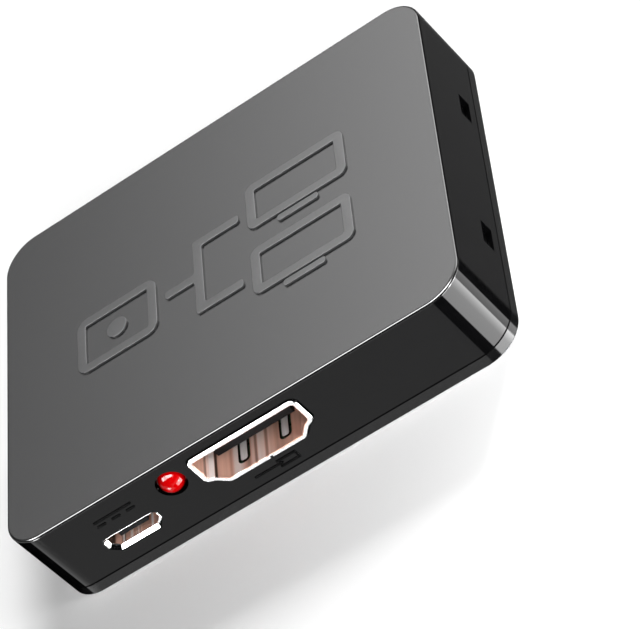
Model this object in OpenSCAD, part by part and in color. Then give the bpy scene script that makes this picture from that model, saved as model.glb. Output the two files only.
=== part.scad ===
// Video splitter: a snapped two-piece case with one video input, two video outputs,
// a power socket and a status light.
// Millimetres. The origin is at the middle of the underside, X runs across the front,
// -Y is the input side, Z is up.

/* [Case] */
// Width of the case, across the front
case_w = 63.5; // [60:0.5:80]
// Depth of the case, from the input side to the output side
case_d = 52; // [49:0.5:70]
// Height of the case
case_h = 11.8; // [11.6:0.1:16]
// Radius of the upright corners
corner_r = 4.7; // [3.5:0.1:8]
// Thickness of the upright walls
wall_t = 1.6; // [1.2:0.1:2]
// Thickness of the roof
roof_t = 1.2; // [1:0.05:1.3]
// Thickness of the floor
floor_t = 1.3; // [1:0.1:1.5]
// Height of the parting line
seam_z = 1.7; // [1.6:0.05:2]
// Bevel round the roof
roof_bevel = 0.35; // [0.2:0.05:0.8]
// Bevel round the floor
floor_bevel = 0.3; // [0.1:0.05:0.6]
// Bevel on each side of the parting line
seam_bevel = 0.15; // [0.05:0.05:0.3]

/* [Lip and latches] */
// Height of the locating lip above the parting line
lip_h = 0.9; // [0.6:0.1:1.4]
// Thickness of the lip and of the latch arms
lip_t = 0.9; // [0.7:0.1:1.2]
// Clearance between the lip and the walls
lip_gap = 0.15; // [0.05:0.05:0.3]
// Distance of the latches from the middle of each side
latch_y = 11.3; // [8:0.1:13]
// Width of a latch arm
latch_w = 3.1; // [2:0.1:4]
// Clearance at each side of a latch in its window
latch_gap = 0.25; // [0.15:0.05:0.5]
// Height of the latch windows above the parting line
window_rise = 1.25; // [1:0.05:1.6]
// Height of a latch window
window_h = 2.1; // [1.6:0.1:2.6]
// How far a hook reaches into its window
hook_reach = 0.9; // [0.5:0.1:1.1]
// Height of the catch face of a hook
hook_t = 0.5; // [0.3:0.1:0.8]
// Clearance above and below a hook
hook_gap = 0.1; // [0.05:0.05:0.2]
// Width of the relief slots beside a latch arm
relief_w = 0.6; // [0.4:0.1:1]

/* [Board] */
// Thickness of the circuit board
board_t = 1.2; // [1:0.1:1.6]
// Clearance between the video sockets and the roof
head_gap = 0.65; // [0.4:0.05:0.9]
// Clearance round the board in its seat
seat_gap = 0.1; // [0.05:0.05:0.2]
// Clearance between the board and the walls
board_gap = 0.4; // [0.2:0.1:0.8]
// Distance of the board posts from the side faces
post_inset_x = 7.75; // [6.5:0.25:8.5]
// Distance of the board posts from the front and back faces
post_inset_y = 8.5; // [7.5:0.25:10]
// Diameter of the board posts
post_d = 4; // [3.4:0.1:4.6]
// Diameter of the locating pins on the posts
pin_d = 1.8; // [1.4:0.1:2]
// Height of the locating pins above the board
pin_rise = 0.8; // [0.4:0.1:1.5]
// Clearance round the locating pins
pin_gap = 0.15; // [0.05:0.05:0.25]
// Clearance under the hold-down posts
hold_gap = 0.1; // [0.05:0.05:0.2]
// Thickness of the stiffening ribs
rib_t = 0.9; // [0.6:0.1:1.2]
// Height of the stiffening ribs
rib_h = 0.8; // [0.4:0.1:0.9]
// Half length of the stiffening ribs
rib_reach = 10; // [6:0.5:11]
// Distance of the floor ribs from the middle
floor_rib_y = 6; // [4:0.5:10]
// Clearance between the floor ribs and the posts
floor_rib_gap = 1; // [0.5:0.25:3]

/* [Video sockets] */
// Position of the input across the front
input_x = 0.35; // [-1:0.05:1]
// Distance of each output from the middle of the back
output_x = 13; // [10:0.25:13.5]
// Width of the opening
socket_w = 14; // [13.8:0.1:14.2]
// Height of the opening
socket_h = 4.5; // [4.4:0.05:4.6]
// Width of the flat at the foot of the opening
socket_foot_w = 10; // [9.6:0.1:10.4]
// Height of the sloped part at the foot of the opening
socket_slope_h = 1.2; // [1:0.1:1.4]
// Width of the ledge at each end of the sloped part
socket_ledge_w = 0.8; // [0.6:0.1:1]
// Rise of the ledge to the upright sides
socket_ledge_h = 0.3; // [0.2:0.1:0.4]
// Radius inside the corners of the opening
socket_r = 0.3; // [0.2:0.05:0.4]
// Height of the opening above the board
socket_lift = 1.35; // [1.2:0.05:1.45]
// Length of the metal shell
socket_len = 11.2; // [10.6:0.1:12]
// Thickness of the shell metal
sheet_t = 0.3; // [0.25:0.01:0.35]
// Width of the flared rim beyond the shell metal
rim_flare = 0.3; // [0.2:0.05:0.35]
// Thickness of the flared rim
rim_t = 0.4; // [0.3:0.05:0.6]
// How far the rim stands proud of the wall
rim_proud = 0.3; // [0:0.05:0.4]
// Clearance between a socket and its opening in the wall
port_gap = 0.12; // [0.05:0.01:0.2]
// Distance of the spring fingers from the middle of a socket
finger_x = 2.9; // [2.5:0.1:3.2]
// Width of a spring finger
finger_w = 1; // [0.75:0.05:1.25]
// Width of the slit round a spring finger
finger_slit = 0.35; // [0.2:0.05:0.4]
// Distance of the finger tips behind the mouth
finger_start = 1.5; // [1.2:0.1:2]
// Length of a spring finger
finger_len = 4.6; // [3.8:0.1:5]
// How far a finger dips into the opening
finger_dip = 0.2; // [0.1:0.05:0.3]
// Width of the legs of the shell
leg_w = 1.3; // [1:0.1:1.6]
// Distance of the front legs behind the mouth
leg_front = 4.6; // [4.2:0.1:5]
// Distance of the rear legs behind the mouth
leg_rear = 10; // [9.5:0.1:10.2]
// How far the legs reach through the board
leg_reach = 0.8; // [0.4:0.1:0.9]
// Clearance under the legs
leg_room = 0.3; // [0.1:0.05:0.4]
// Clearance round a leg in the board
leg_gap = 0.15; // [0.05:0.05:0.25]

/* [Tongue and contacts] */
// Width of the tongue
tongue_w = 10.6; // [10.2:0.1:11]
// Thickness of the tongue
tongue_t = 1.8; // [1.6:0.1:2]
// Height of the tongue above the foot of the opening
tongue_lift = 1.4; // [1.3:0.05:1.5]
// Distance of the tongue behind the mouth
tongue_recess = 2.4; // [2:0.1:3]
// Distance of the back block of the insulator behind the mouth
block_start = 7.4; // [7:0.1:7.8]
// Bevel on the front edges of the tongue
tongue_bevel = 0.25; // [0.1:0.05:0.4]
// Clearance between the insulator and the shell
block_gap = 0.03; // [0.01:0.01:0.05]
// Spacing of the contacts in a row
contact_pitch = 1; // [0.9:0.02:1]
// Width of a contact
contact_w = 0.36; // [0.3:0.02:0.4]
// Thickness of a contact
contact_t = 0.15; // [0.1:0.01:0.2]
// Clearance round a contact in the insulator
contact_gap = 0.02; // [0.01:0.01:0.03]
// Distance of the contact ends behind the tip of the tongue
contact_start = 0.5; // [0.4:0.05:0.8]
// Length of the soldered feet of the contacts
foot_len = 0.9; // [0.6:0.1:1.2]

/* [Power socket] */
// Position of the power socket across the front
power_x = -18.45; // [-19:0.05:-17]
// Width of the opening
power_w = 6.9; // [6.7:0.05:7.1]
// Height of the opening
power_h = 1.85; // [1.75:0.05:1.95]
// Width of the flat at the foot of the opening
power_foot_w = 5.2; // [4.9:0.1:5.5]
// Height of the sloped corners
power_slope_h = 0.85; // [0.7:0.05:1]
// Height of the opening above the board
power_lift = 0.35; // [0.3:0.01:0.4]
// Length of the metal shell
power_len = 5.4; // [5:0.1:6]
// Thickness of the shell metal
power_sheet_t = 0.25; // [0.2:0.01:0.3]
// Width of the flared rim beyond the shell metal
power_flare = 0.1; // [0.05:0.05:0.2]
// Distance of the mouth behind the wall face
power_recess = 0; // [0:0.05:0.2]
// Width of the tongue
power_tongue_w = 4.1; // [3.8:0.1:4.4]
// Thickness of the tongue
power_tongue_t = 0.6; // [0.5:0.05:0.7]
// Distance of the tongue below the top of the opening
power_tongue_drop = 0.45; // [0.35:0.05:0.55]
// Distance of the tongue behind the mouth
power_tongue_recess = 0.9; // [0.6:0.1:1.4]
// Distance of the back block behind the mouth
power_block_start = 3.9; // [3.6:0.1:4.2]
// Spacing of the contacts
power_pitch = 0.65; // [0.6:0.01:0.7]
// Width of a contact
power_contact_w = 0.3; // [0.2:0.01:0.35]
// Distance of the legs behind the mouth
power_leg_y = 3.4; // [3.2:0.1:4]
// Width of the legs
power_leg_w = 1; // [0.8:0.1:1.2]

/* [Status light] */
// Position of the light across the front
light_x = -10.4; // [-11.2:0.05:-10]
// Height of the light above the board
light_z = 4.7; // [4.25:0.05:4.85]
// Diameter of the lens
light_d = 3.5; // [3.2:0.05:3.6]
// Clearance round the lens in the wall
light_gap = 0.15; // [0.05:0.05:0.2]
// How far the lens stands proud of the wall
light_proud = 1; // [0.5:0.05:1.1]
// Length of the lens
light_len = 5.3; // [5:0.1:5.6]
// Width of the collar beyond the lens
collar_w = 0.2; // [0.1:0.05:0.25]
// Length of the collar
collar_t = 0.9; // [0.6:0.1:1.2]
// Spacing of the leads
lead_pitch = 2.54; // [2.3:0.02:2.6]
// Thickness of the leads
lead_t = 0.5; // [0.4:0.05:0.6]
// Distance from the lens to the bend of the leads
lead_run = 1.8; // [1.4:0.1:2.4]
// Clearance round a lead in the board
lead_gap = 0.15; // [0.05:0.05:0.2]

/* [Chips] */
// Position of the splitter chip across the board
chip_x = 2; // [1:0.25:3]
// Position of the splitter chip along the board
chip_y = 0; // [-0.5:0.25:0.5]
// Side of the splitter chip body
chip_size = 10; // [9:0.1:10]
// Thickness of the splitter chip body
chip_t = 1.4; // [1:0.1:1.6]
// Leads on each side of the splitter chip
chip_count = 16; // [12:1:17]
// Spacing of the leads of the splitter chip
chip_pitch = 0.5; // [0.45:0.01:0.52]
// Position of the memory chip across the board
memory_x = 17.5; // [17:0.25:18]
// Position of the memory chip along the board
memory_y = -5; // [-6:0.25:-4]
// Position of the regulator across the board
regulator_x = -19; // [-20:0.25:-18]
// Position of the regulator along the board
regulator_y = -5; // [-6:0.25:-4]
// Position of the crystal across the board
crystal_x = 18; // [17:0.25:19]
// Position of the crystal along the board
crystal_y = 4; // [3:0.25:5]
// Position of the electrolytic capacitors across the board
can_x = -19; // [-20:0.25:-18]
// Distance of the first electrolytic capacitor from the back edge of the board
can_y = 20; // [19:0.25:20.5]
// Diameter of the electrolytic capacitors
can_d = 4; // [3.5:0.1:4.2]
// Height of the electrolytic capacitors
can_h = 5; // [4:0.1:5.2]
// Distance between the electrolytic capacitors
can_pitch = 5.4; // [5:0.1:6]
// Position of the diode across the board
diode_x = -11; // [-11.5:0.25:-10.5]
// Position of the diode along the board
diode_y = -11; // [-12:0.25:-10]
// Height of the splitter chip body above the board
chip_lift = 0.1; // [0.05:0.05:0.2]
// Width of the leads of the splitter chip
chip_lead_w = 0.22; // [0.18:0.01:0.27]
// Thickness of the leads of the splitter chip
chip_lead_t = 0.15; // [0.1:0.01:0.2]
// Straight part of the leads of the splitter chip
chip_shoulder = 0.2; // [0.1:0.05:0.3]
// Sloped part of the leads of the splitter chip
chip_drop = 0.25; // [0.15:0.05:0.4]
// Feet of the leads of the splitter chip
chip_foot = 0.5; // [0.4:0.05:0.7]
// Width of the memory chip body
memory_w = 4.9; // [4.8:0.05:5]
// Depth of the memory chip body
memory_d = 3.9; // [3.8:0.05:4]
// Thickness of the memory chip body
memory_t = 1.35; // [1.2:0.05:1.5]
// Height of the memory chip body above the board
memory_lift = 0.15; // [0.1:0.05:0.25]
// Spacing of the leads of the memory chip
memory_pitch = 1.27; // [1.2:0.01:1.3]
// Width of the leads of the memory chip
memory_lead_w = 0.42; // [0.35:0.01:0.5]
// Thickness of the leads of the memory chip
memory_lead_t = 0.2; // [0.15:0.01:0.25]
// Straight part of the leads of the memory chip
memory_shoulder = 0.25; // [0.15:0.05:0.35]
// Sloped part of the leads of the memory chip
memory_drop = 0.3; // [0.2:0.05:0.4]
// Feet of the leads of the memory chip
memory_foot = 0.55; // [0.4:0.05:0.7]
// Width of the regulator body
regulator_w = 6.5; // [6.3:0.05:6.7]
// Depth of the regulator body
regulator_d = 3.5; // [3.3:0.05:3.7]
// Thickness of the regulator body
regulator_t = 1.6; // [1.5:0.05:1.8]
// Spacing of the leads of the regulator
regulator_pitch = 2.3; // [2.2:0.01:2.4]
// Width of the leads of the regulator
regulator_lead_w = 0.7; // [0.6:0.01:0.8]
// Width of the wide lead of the regulator
regulator_tab_w = 3; // [2.8:0.05:3.2]
// Thickness of the leads of the regulator
regulator_lead_t = 0.26; // [0.2:0.01:0.3]
// Straight part of the leads of the regulator
regulator_shoulder = 0.3; // [0.2:0.05:0.4]
// Sloped part of the leads of the regulator
regulator_drop = 0.4; // [0.3:0.05:0.5]
// Feet of the leads of the regulator
regulator_foot = 0.8; // [0.6:0.05:1]
// Width of a protection array body
protection_w = 2.9; // [2.8:0.05:3]
// Depth of a protection array body
protection_d = 1.6; // [1.5:0.05:1.7]
// Thickness of a protection array body
protection_t = 1; // [0.9:0.05:1.2]
// Spacing of the leads of a protection array
protection_pitch = 0.95; // [0.9:0.01:1]
// Width of the leads of a protection array
protection_lead_w = 0.36; // [0.3:0.01:0.45]
// Thickness of the leads of a protection array
protection_lead_t = 0.14; // [0.1:0.01:0.2]
// Straight part of the leads of a protection array
protection_shoulder = 0.15; // [0.1:0.05:0.25]
// Sloped part of the leads of a protection array
protection_drop = 0.2; // [0.1:0.05:0.3]
// Feet of the leads of a protection array
protection_foot = 0.35; // [0.3:0.05:0.5]
// Distance of the protection arrays from the middle of a socket
protection_x = 3; // [2.6:0.1:3.4]
// Distance of the protection arrays behind the socket feet
protection_gap = 1.9; // [1.7:0.05:2.1]
// Length of the diode body
diode_w = 4.3; // [4.1:0.05:4.5]
// Width of the diode body
diode_d = 2.7; // [2.5:0.05:2.9]
// Thickness of the diode body
diode_t = 2; // [1.8:0.05:2.2]
// Width of the leads of the diode
diode_lead_w = 1.5; // [1.3:0.05:1.7]
// Thickness of the leads of the diode
diode_lead_t = 0.22; // [0.15:0.01:0.3]
// Straight and sloped parts of the leads of the diode
diode_bend = 0.15; // [0.1:0.05:0.25]
// Feet of the leads of the diode
diode_foot = 0.4; // [0.3:0.05:0.6]
// Straight length of the crystal can
crystal_w = 6.4; // [6:0.1:6.8]
// Width of the crystal can
crystal_d = 3.6; // [3.4:0.1:3.8]
// Height of the crystal can
crystal_h = 2.8; // [2.4:0.1:3.2]
// Width of the flange of the crystal can
crystal_flange = 0.35; // [0.2:0.05:0.4]
// Thickness of the flange of the crystal can
crystal_flange_t = 0.4; // [0.3:0.05:0.6]
// Length of the crystal base
crystal_base_w = 11.4; // [11:0.1:11.8]
// Width of the crystal base
crystal_base_d = 4.7; // [4.4:0.1:5]
// Thickness of the crystal base
crystal_base_t = 0.7; // [0.5:0.05:0.9]
// Distance of the crystal leads from the middle
crystal_lead_x = 4.6; // [4.3:0.1:4.9]
// Length of a crystal lead
crystal_lead_l = 3.6; // [3.2:0.1:4]
// Width of a crystal lead
crystal_lead_w = 0.7; // [0.5:0.05:0.9]
// Thickness of a crystal lead
crystal_lead_t = 0.25; // [0.2:0.01:0.3]
// Thickness of the capacitor bases
can_base_t = 0.7; // [0.5:0.05:0.9]
// Edge of the capacitor bases beyond the cans
can_base_edge = 0.15; // [0.1:0.05:0.3]
// Cut corners of the capacitor bases
can_base_corner = 0.9; // [0.6:0.1:1.2]
// Length of a capacitor lead
can_lead_l = 1.9; // [1.6:0.1:2.2]
// Width of a capacitor lead
can_lead_w = 0.65; // [0.5:0.05:0.8]
// Thickness of a capacitor lead
can_lead_t = 0.2; // [0.15:0.01:0.3]
// Distance of the capacitor leads inside the can
can_lead_inset = 0.35; // [0.2:0.05:0.5]
// Depth of the groove round a can
can_neck = 0.2; // [0.1:0.05:0.3]
// Height of the groove above the foot of a can
can_neck_z = 0.7; // [0.6:0.05:1]
// Height of the flat of the groove
can_neck_h = 0.15; // [0.1:0.05:0.3]
// Bevel round the top of a can
can_round = 0.3; // [0.2:0.05:0.5]
// Length of a chip capacitor or resistor body
small_l = 1; // [0.9:0.05:1.1]
// Width of a chip capacitor or resistor body
small_w = 0.8; // [0.7:0.02:0.82]
// Length of the end caps
small_end = 0.3; // [0.2:0.05:0.4]
// Width of the end caps
small_end_w = 0.84; // [0.8:0.02:0.95]
// Height of the end caps beyond a body
small_skin = 0.03; // [0.01:0.01:0.05]
// Height of the chip capacitors
cap_h = 0.8; // [0.6:0.05:0.9]
// Height of the chip resistors
resistor_h = 0.5; // [0.4:0.05:0.6]
// Distance of the chip capacitors from the splitter chip
cap_gap = 2.6; // [2.4:0.05:2.8]
// Spacing of the chip capacitors beside the splitter chip
cap_side_pitch = 2.4; // [2.2:0.1:3]
// Spacing of the chip capacitors before and behind the splitter chip
cap_end_pitch = 2.6; // [2.4:0.1:3]
// Distance of two chip capacitors from the regulator
cap_regulator_x = 6; // [5.6:0.1:6.4]
// Half the distance between these capacitors
cap_regulator_y = 1.5; // [1.3:0.1:2]
// Distance of three resistors from the memory chip
resistor_memory_x = 5.8; // [5.4:0.1:6.2]
// Spacing of these resistors
resistor_pitch = 1.8; // [1.6:0.1:2.2]
// Half the distance between two resistors at the crystal
resistor_crystal_x = 1.5; // [1.3:0.1:2]
// Distance of these resistors from the crystal
resistor_crystal_y = 4.3; // [4:0.1:4.6]
// Distance of two resistors beside the light
resistor_light_x = 1; // [0.6:0.1:1.4]
// Distance of the first of these behind the light leads
resistor_light_y = 2.2; // [2:0.1:2.4]
// Spacing of these two resistors
resistor_light_pitch = 2; // [1.8:0.1:2.4]

/* [Hidden] */
$fn = 48;
eps = 0.01;
cut = 1;
light_face = case_d / 2 + light_proud;
inner_w = case_w - 2 * wall_t;
inner_d = case_d - 2 * wall_t;
inner_r = corner_r - wall_t;
roof_z = case_h - roof_t;
lip_x = inner_w / 2 - lip_gap;
lip_y = inner_d / 2 - lip_gap;
lip_r = inner_r - lip_gap;
lip_top = seam_z + lip_h;
board_top = roof_z - head_gap - sheet_t - socket_h - socket_lift;
board_z = board_top - board_t;
board_w = inner_w - 2 * board_gap;
board_d = inner_d - 2 * board_gap;
board_r = inner_r - board_gap;
post_x = case_w / 2 - post_inset_x;
post_y = case_d / 2 - post_inset_y;
floor_rib_w = 2 * (post_x - post_d / 2 - floor_rib_gap);
posts = [for (sx = [-1, 1], sy = [-1, 1]) [sx * post_x, sy * post_y]];
window_z = seam_z + window_rise;
window_w = latch_w + 2 * latch_gap;
hook_z = window_z + hook_gap;
hook_top = window_z + window_h - hook_gap;
flex_room = hook_reach + lip_gap;
latches = [for (sx = [-1, 1], sy = [-1, 1]) [sx, sy * latch_y]];
mouth_y = case_d / 2 + rim_proud;
input_place = [input_x, -mouth_y, 0];
output_1_place = [output_x, mouth_y, 180];
output_2_place = [-output_x, mouth_y, 180];
socket_places = [input_place, output_1_place, output_2_place];
tongue_z = socket_lift + tongue_lift;
leg_x = socket_w / 2 + sheet_t / 2;
contact_rear = socket_len + contact_t / 2;
power_place = [power_x, -(case_d / 2 - power_recess), 0];
power_leg_x = power_w / 2 + power_sheet_t / 2;
power_tongue_z = power_lift + power_h - power_tongue_t - power_tongue_drop;
power_slot = power_tongue_recess + contact_start;
power_rear = power_len + contact_t / 2;
light_base = -light_face + light_len;
light_mid = board_top + light_z;
lead_bend = light_base + lead_run;
leads = [light_x - lead_pitch / 2, light_x + lead_pitch / 2];
near_chip = chip_size / 2 + cap_gap;

cap_places = concat(
    [for (i = [-1, 0, 1]) [chip_x - near_chip, chip_y + i * cap_side_pitch, 0]],
    [for (i = [-1, 0, 1]) [chip_x + near_chip, chip_y + i * cap_side_pitch, 0]],
    [for (i = [-1.5, -0.5, 0.5, 1.5]) [chip_x + i * cap_end_pitch, chip_y + near_chip, 90]],
    [for (i = [-1.5, -0.5, 0.5, 1.5]) [chip_x + i * cap_end_pitch, chip_y - near_chip, 90]],
    [for (i = [1, -1]) [regulator_x + cap_regulator_x, regulator_y + i * cap_regulator_y, 90]]
);
resistor_places = concat(
    [for (i = [-1, 0, 1]) [memory_x + resistor_memory_x, memory_y + i * resistor_pitch, 0]],
    [for (i = [-1, 1]) [crystal_x + i * resistor_crystal_x, crystal_y + resistor_crystal_y, 0]],
    [for (i = [0, 1])
        [light_x + resistor_light_x, lead_bend + resistor_light_y + i * resistor_light_pitch, 0]]
);
array_y = socket_len + foot_len + protection_gap;
array_places = [
    for (p = socket_places, i = [-1, 1])
        [p[0] + i * protection_x, p[1] + (p[2] == 0 ? array_y : -array_y), p[2]]
];
can_base_top = can_lead_t + can_base_t;
crystal_base_top = crystal_lead_t + crystal_base_t;

// Shared shapes

// A profile drawn in X and Z, between two places along Y
module along_y(from, to) {
    translate([0, to, 0]) rotate([90, 0, 0]) linear_extrude(to - from) children();
}

// A profile drawn in Y and Z, between two places along X
module along_x(from, to) {
    translate([from, 0, 0]) rotate([90, 0, 90]) linear_extrude(to - from) children();
}

// A box from its middle in plan and its two heights
module block(w, d, z0, z1) {
    translate([-w / 2, -d / 2, z0]) cube([w, d, z1 - z0]);
}

module bevelled(half, z0, z1, low, high) {
    polygon([[-half + low, z0], [half - low, z0], [half, z0 + low], [half, z1 - high],
        [half - high, z1], [-half + high, z1], [-half, z1 - high], [-half, z0 + low]]);
}

// A slab with rounded corners and bevelled edges
module slab(w, d, r, z0, z1, low = 0, high = 0) {
    along_x(-(w / 2 - r), w / 2 - r) bevelled(d / 2, z0, z1, low, high);
    along_y(-(d / 2 - r), d / 2 - r) bevelled(w / 2, z0, z1, low, high);
    for (c = [[1, 1, 0], [-1, 1, 90], [-1, -1, 180], [1, -1, 270]])
        translate([c[0] * (w / 2 - r), c[1] * (d / 2 - r), 0])
            rotate(c[2])
                rotate_extrude(angle = 90)
                    polygon([[0, z0], [r - low, z0], [r, z0 + low],
                        [r, z1 - high], [r - high, z1], [0, z1]]);
}

// The room round every leg and lead, between two heights
module leg_holes(z0, z1) {
    for (p = socket_places, s = [-1, 1], y = [leg_front, leg_rear])
        placed(p)
            translate([s * leg_x, y, -board_top])
                block(sheet_t + 2 * leg_gap, leg_w + 2 * leg_gap, z0, z1);
    for (s = [-1, 1])
        placed(power_place)
            translate([s * power_leg_x, power_leg_y, -board_top])
                block(power_sheet_t + 2 * leg_gap, power_leg_w + 2 * leg_gap, z0, z1);
    for (x = leads)
        translate([x, lead_bend + lead_t / 2, z0])
            cylinder(d = lead_t * sqrt(2) + 2 * lead_gap, h = z1 - z0);
}

// Puts a socket at its place: across, along, turned
module placed(p) {
    translate([p[0], p[1], board_top]) rotate(p[2]) children();
}

// The opening of a video socket, grown outwards
module socket_outline(grow) {
    x1 = socket_foot_w / 2;
    x2 = socket_w / 2 - socket_ledge_w;
    x3 = socket_w / 2;
    z1 = socket_slope_h;
    z2 = socket_slope_h + socket_ledge_h;
    translate([0, socket_lift])
        offset(r = grow + socket_r)
            offset(delta = -socket_r)
                polygon([[-x1, 0], [x1, 0], [x2, z1], [x3, z2], [x3, socket_h],
                    [-x3, socket_h], [-x3, z2], [-x2, z1]]);
}

// The opening of the power socket, grown outwards
module power_outline(grow) {
    x1 = power_foot_w / 2;
    x2 = power_w / 2;
    translate([0, power_lift])
        offset(delta = grow)
            polygon([[-x1, 0], [x1, 0], [x2, power_slope_h], [x2, power_h],
                [-x2, power_h], [-x2, power_slope_h]]);
}

// A bent contact: flat along the tongue, down behind the block, then a soldered foot
module contact(x, w, tip, z, rear) {
    along_x(x - w / 2, x + w / 2)
        polygon([[tip, z], [tip, z + contact_t], [rear + contact_t, z + contact_t],
            [rear + contact_t, contact_t], [rear + foot_len, contact_t], [rear + foot_len, 0],
            [rear, 0], [rear, z]]);
}

// A gull-wing lead that leaves a body at y = 0
module gull_lead(w, z, t, shoulder, drop, foot) {
    along_x(-w / 2, w / 2)
        polygon([[0, z], [0, z + t], [shoulder + t / 2, z + t], [shoulder + drop + t / 2, t],
            [shoulder + drop + foot, t], [shoulder + drop + foot, 0], [shoulder + drop - t / 2, 0],
            [shoulder - t / 2, z]]);
}

// A moulded chip body with drafted sides and a mark for the first lead
module chip_body(w, d, z0, z1) {
    mid = (z0 + z1) / 2;
    draft = (z1 - z0) * 0.1;
    difference() {
        intersection() {
            along_x(-w / 2, w / 2)
                polygon([[-d / 2 + draft, z0], [d / 2 - draft, z0], [d / 2, mid],
                    [d / 2 - draft, z1], [-d / 2 + draft, z1], [-d / 2, mid]]);
            along_y(-d / 2, d / 2)
                polygon([[-w / 2 + draft, z0], [w / 2 - draft, z0], [w / 2, mid],
                    [w / 2 - draft, z1], [-w / 2 + draft, z1], [-w / 2, mid]]);
        }
        translate([-w / 2 + w * 0.14, -d / 2 + w * 0.14, z1 - 0.08]) cylinder(d = w * 0.09, h = 1);
    }
}

// Case

module top_cover() {
    color("#2a2a2c")
        difference() {
            union() {
                difference() {
                    slab(case_w, case_d, corner_r, seam_z, case_h, seam_bevel, roof_bevel);
                    slab(inner_w, inner_d, inner_r, seam_z - cut, roof_z);
                }
                for (p = posts)
                    translate([p[0], p[1], board_top + hold_gap])
                        cylinder(d = post_d, h = roof_z - board_top - hold_gap + eps);
                for (s = [-1, 1])
                    translate([s * post_x, 0, 0])
                        block(rib_t, 2 * rib_reach, roof_z - rib_h, roof_z + eps);
            }
            for (p = posts)
                translate([p[0], p[1], board_top])
                    cylinder(d = pin_d + 2 * pin_gap, h = pin_rise + cut);
            for (p = socket_places)
                placed(p)
                    along_y(rim_proud - cut, rim_proud + wall_t + cut)
                        socket_outline(sheet_t + rim_flare + port_gap);
            placed(power_place)
                along_y(-cut, wall_t + cut) power_outline(power_sheet_t + power_flare + port_gap);
            translate([light_x, -case_d / 2 + wall_t + cut, light_mid])
                rotate([90, 0, 0])
                    cylinder(d = light_d + 2 * light_gap, h = wall_t + 2 * cut);
            for (l = latches)
                translate([l[0] * (case_w / 2 - wall_t / 2), l[1], 0])
                    block(wall_t + cut, window_w, window_z, window_z + window_h);
        }
}

module latch(side) {
    mirror([side < 0 ? 1 : 0, 0, 0]) {
        translate([lip_x - lip_t / 2, 0, 0]) block(lip_t, latch_w, floor_t - eps, hook_top);
        along_y(-latch_w / 2, latch_w / 2)
            polygon([[lip_x - eps, hook_z], [lip_x + lip_gap + hook_reach, hook_z],
                [lip_x + lip_gap + hook_reach, hook_z + hook_t], [lip_x - eps, hook_top]]);
    }
}

module bottom_cover() {
    color("#232325") {
        difference() {
            union() {
                difference() {
                    union() {
                        slab(case_w, case_d, corner_r, 0, seam_z, floor_bevel, seam_bevel);
                        slab(2 * lip_x, 2 * lip_y, lip_r, floor_t, lip_top);
                    }
                    slab(2 * (lip_x - lip_t), 2 * (lip_y - lip_t), lip_r - lip_t, floor_t, case_h);
                    for (l = latches, s = [-1, 1])
                        translate([l[0] * (lip_x - lip_t / 2), l[1] + s * (latch_w + relief_w) / 2, 0])
                            block(lip_t + 2 * lip_gap, relief_w, seam_z, case_h);
                }
                for (s = [-1, 1])
                    translate([0, s * floor_rib_y, 0])
                        block(floor_rib_w, rib_t, floor_t - eps, floor_t + rib_h);
            }
            slab(board_w + 2 * seat_gap, board_d + 2 * seat_gap, board_r + seat_gap, board_z, case_h);
            leg_holes(board_z - leg_reach - leg_room, board_top);
        }
        for (l = latches)
            translate([0, l[1], 0]) latch(l[0]);
        for (p = posts)
            translate([p[0], p[1], floor_t - eps]) {
                cylinder(d = post_d, h = board_z - floor_t + eps);
                cylinder(d = pin_d, h = board_top + pin_rise - floor_t + eps);
            }
    }
}

// Board

module circuit_board() {
    color("#1d5c3a")
        difference() {
            slab(board_w, board_d, board_r, board_z, board_top);
            for (p = posts)
                translate([p[0], p[1], board_z - cut])
                    cylinder(d = pin_d + 2 * pin_gap, h = board_t + 2 * cut);
            for (l = latches)
                translate([l[0] * case_w / 2, l[1], 0])
                    block(case_w - 2 * (lip_x - lip_t - flex_room), latch_w + 2 * relief_w,
                        board_z - cut, board_top + cut);
            leg_holes(board_z - cut, board_top + cut);
        }
}

// Video sockets

module socket_finger(x, top) {
    z = top ? socket_lift + socket_h : socket_lift;
    dip = top ? -finger_dip : finger_dip;
    t = top ? sheet_t : -sheet_t;
    tip = finger_start;
    root = finger_start + finger_len;
    along_x(x - finger_w / 2, x + finger_w / 2)
        polygon([[root + eps, z], [tip + finger_len * 0.3, z + dip], [tip, z + dip * 0.3],
            [tip, z + dip * 0.3 + t], [tip + finger_len * 0.3, z + dip + t], [root + eps, z + t]]);
}

module socket_shell() {
    color("#c9c9cc") {
        difference() {
            union() {
                along_y(0, socket_len) socket_outline(sheet_t);
                along_y(rim_t * 0.3, rim_t) socket_outline(sheet_t + rim_flare);
                along_y(0, rim_t * 0.3 + eps) socket_outline(sheet_t + rim_flare - rim_t * 0.3);
            }
            along_y(-cut, socket_len + cut) socket_outline(0);
            for (s = [-1, 1])
                translate([s * finger_x, finger_start - finger_slit + (finger_len + finger_slit) / 2, 0])
                    block(finger_w + 2 * finger_slit, finger_len + finger_slit,
                        socket_lift - cut, socket_lift + socket_h + cut);
            translate([0, (block_start + socket_len + cut) / 2, 0])
                block(socket_w - 2 * socket_ledge_w, socket_len + cut - block_start,
                    0, socket_lift + socket_slope_h);
        }
        for (s = [-1, 1], top = [true, false])
            socket_finger(s * finger_x, top);
        for (s = [-1, 1], y = [leg_front, leg_rear])
            translate([s * leg_x, y, 0])
                block(sheet_t, leg_w, -board_t - leg_reach, socket_lift + socket_h / 2);
    }
}

module contact_rows(grow) {
    w = contact_w + 2 * grow;
    for (i = [0 : 9])
        along_x((i - 4.5) * contact_pitch - w / 2, (i - 4.5) * contact_pitch + w / 2)
            contact_slot(tongue_z + tongue_t - contact_t, grow);
    for (i = [0 : 8])
        along_x((i - 4) * contact_pitch - w / 2, (i - 4) * contact_pitch + w / 2)
            contact_slot(tongue_z, grow);
}

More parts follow.
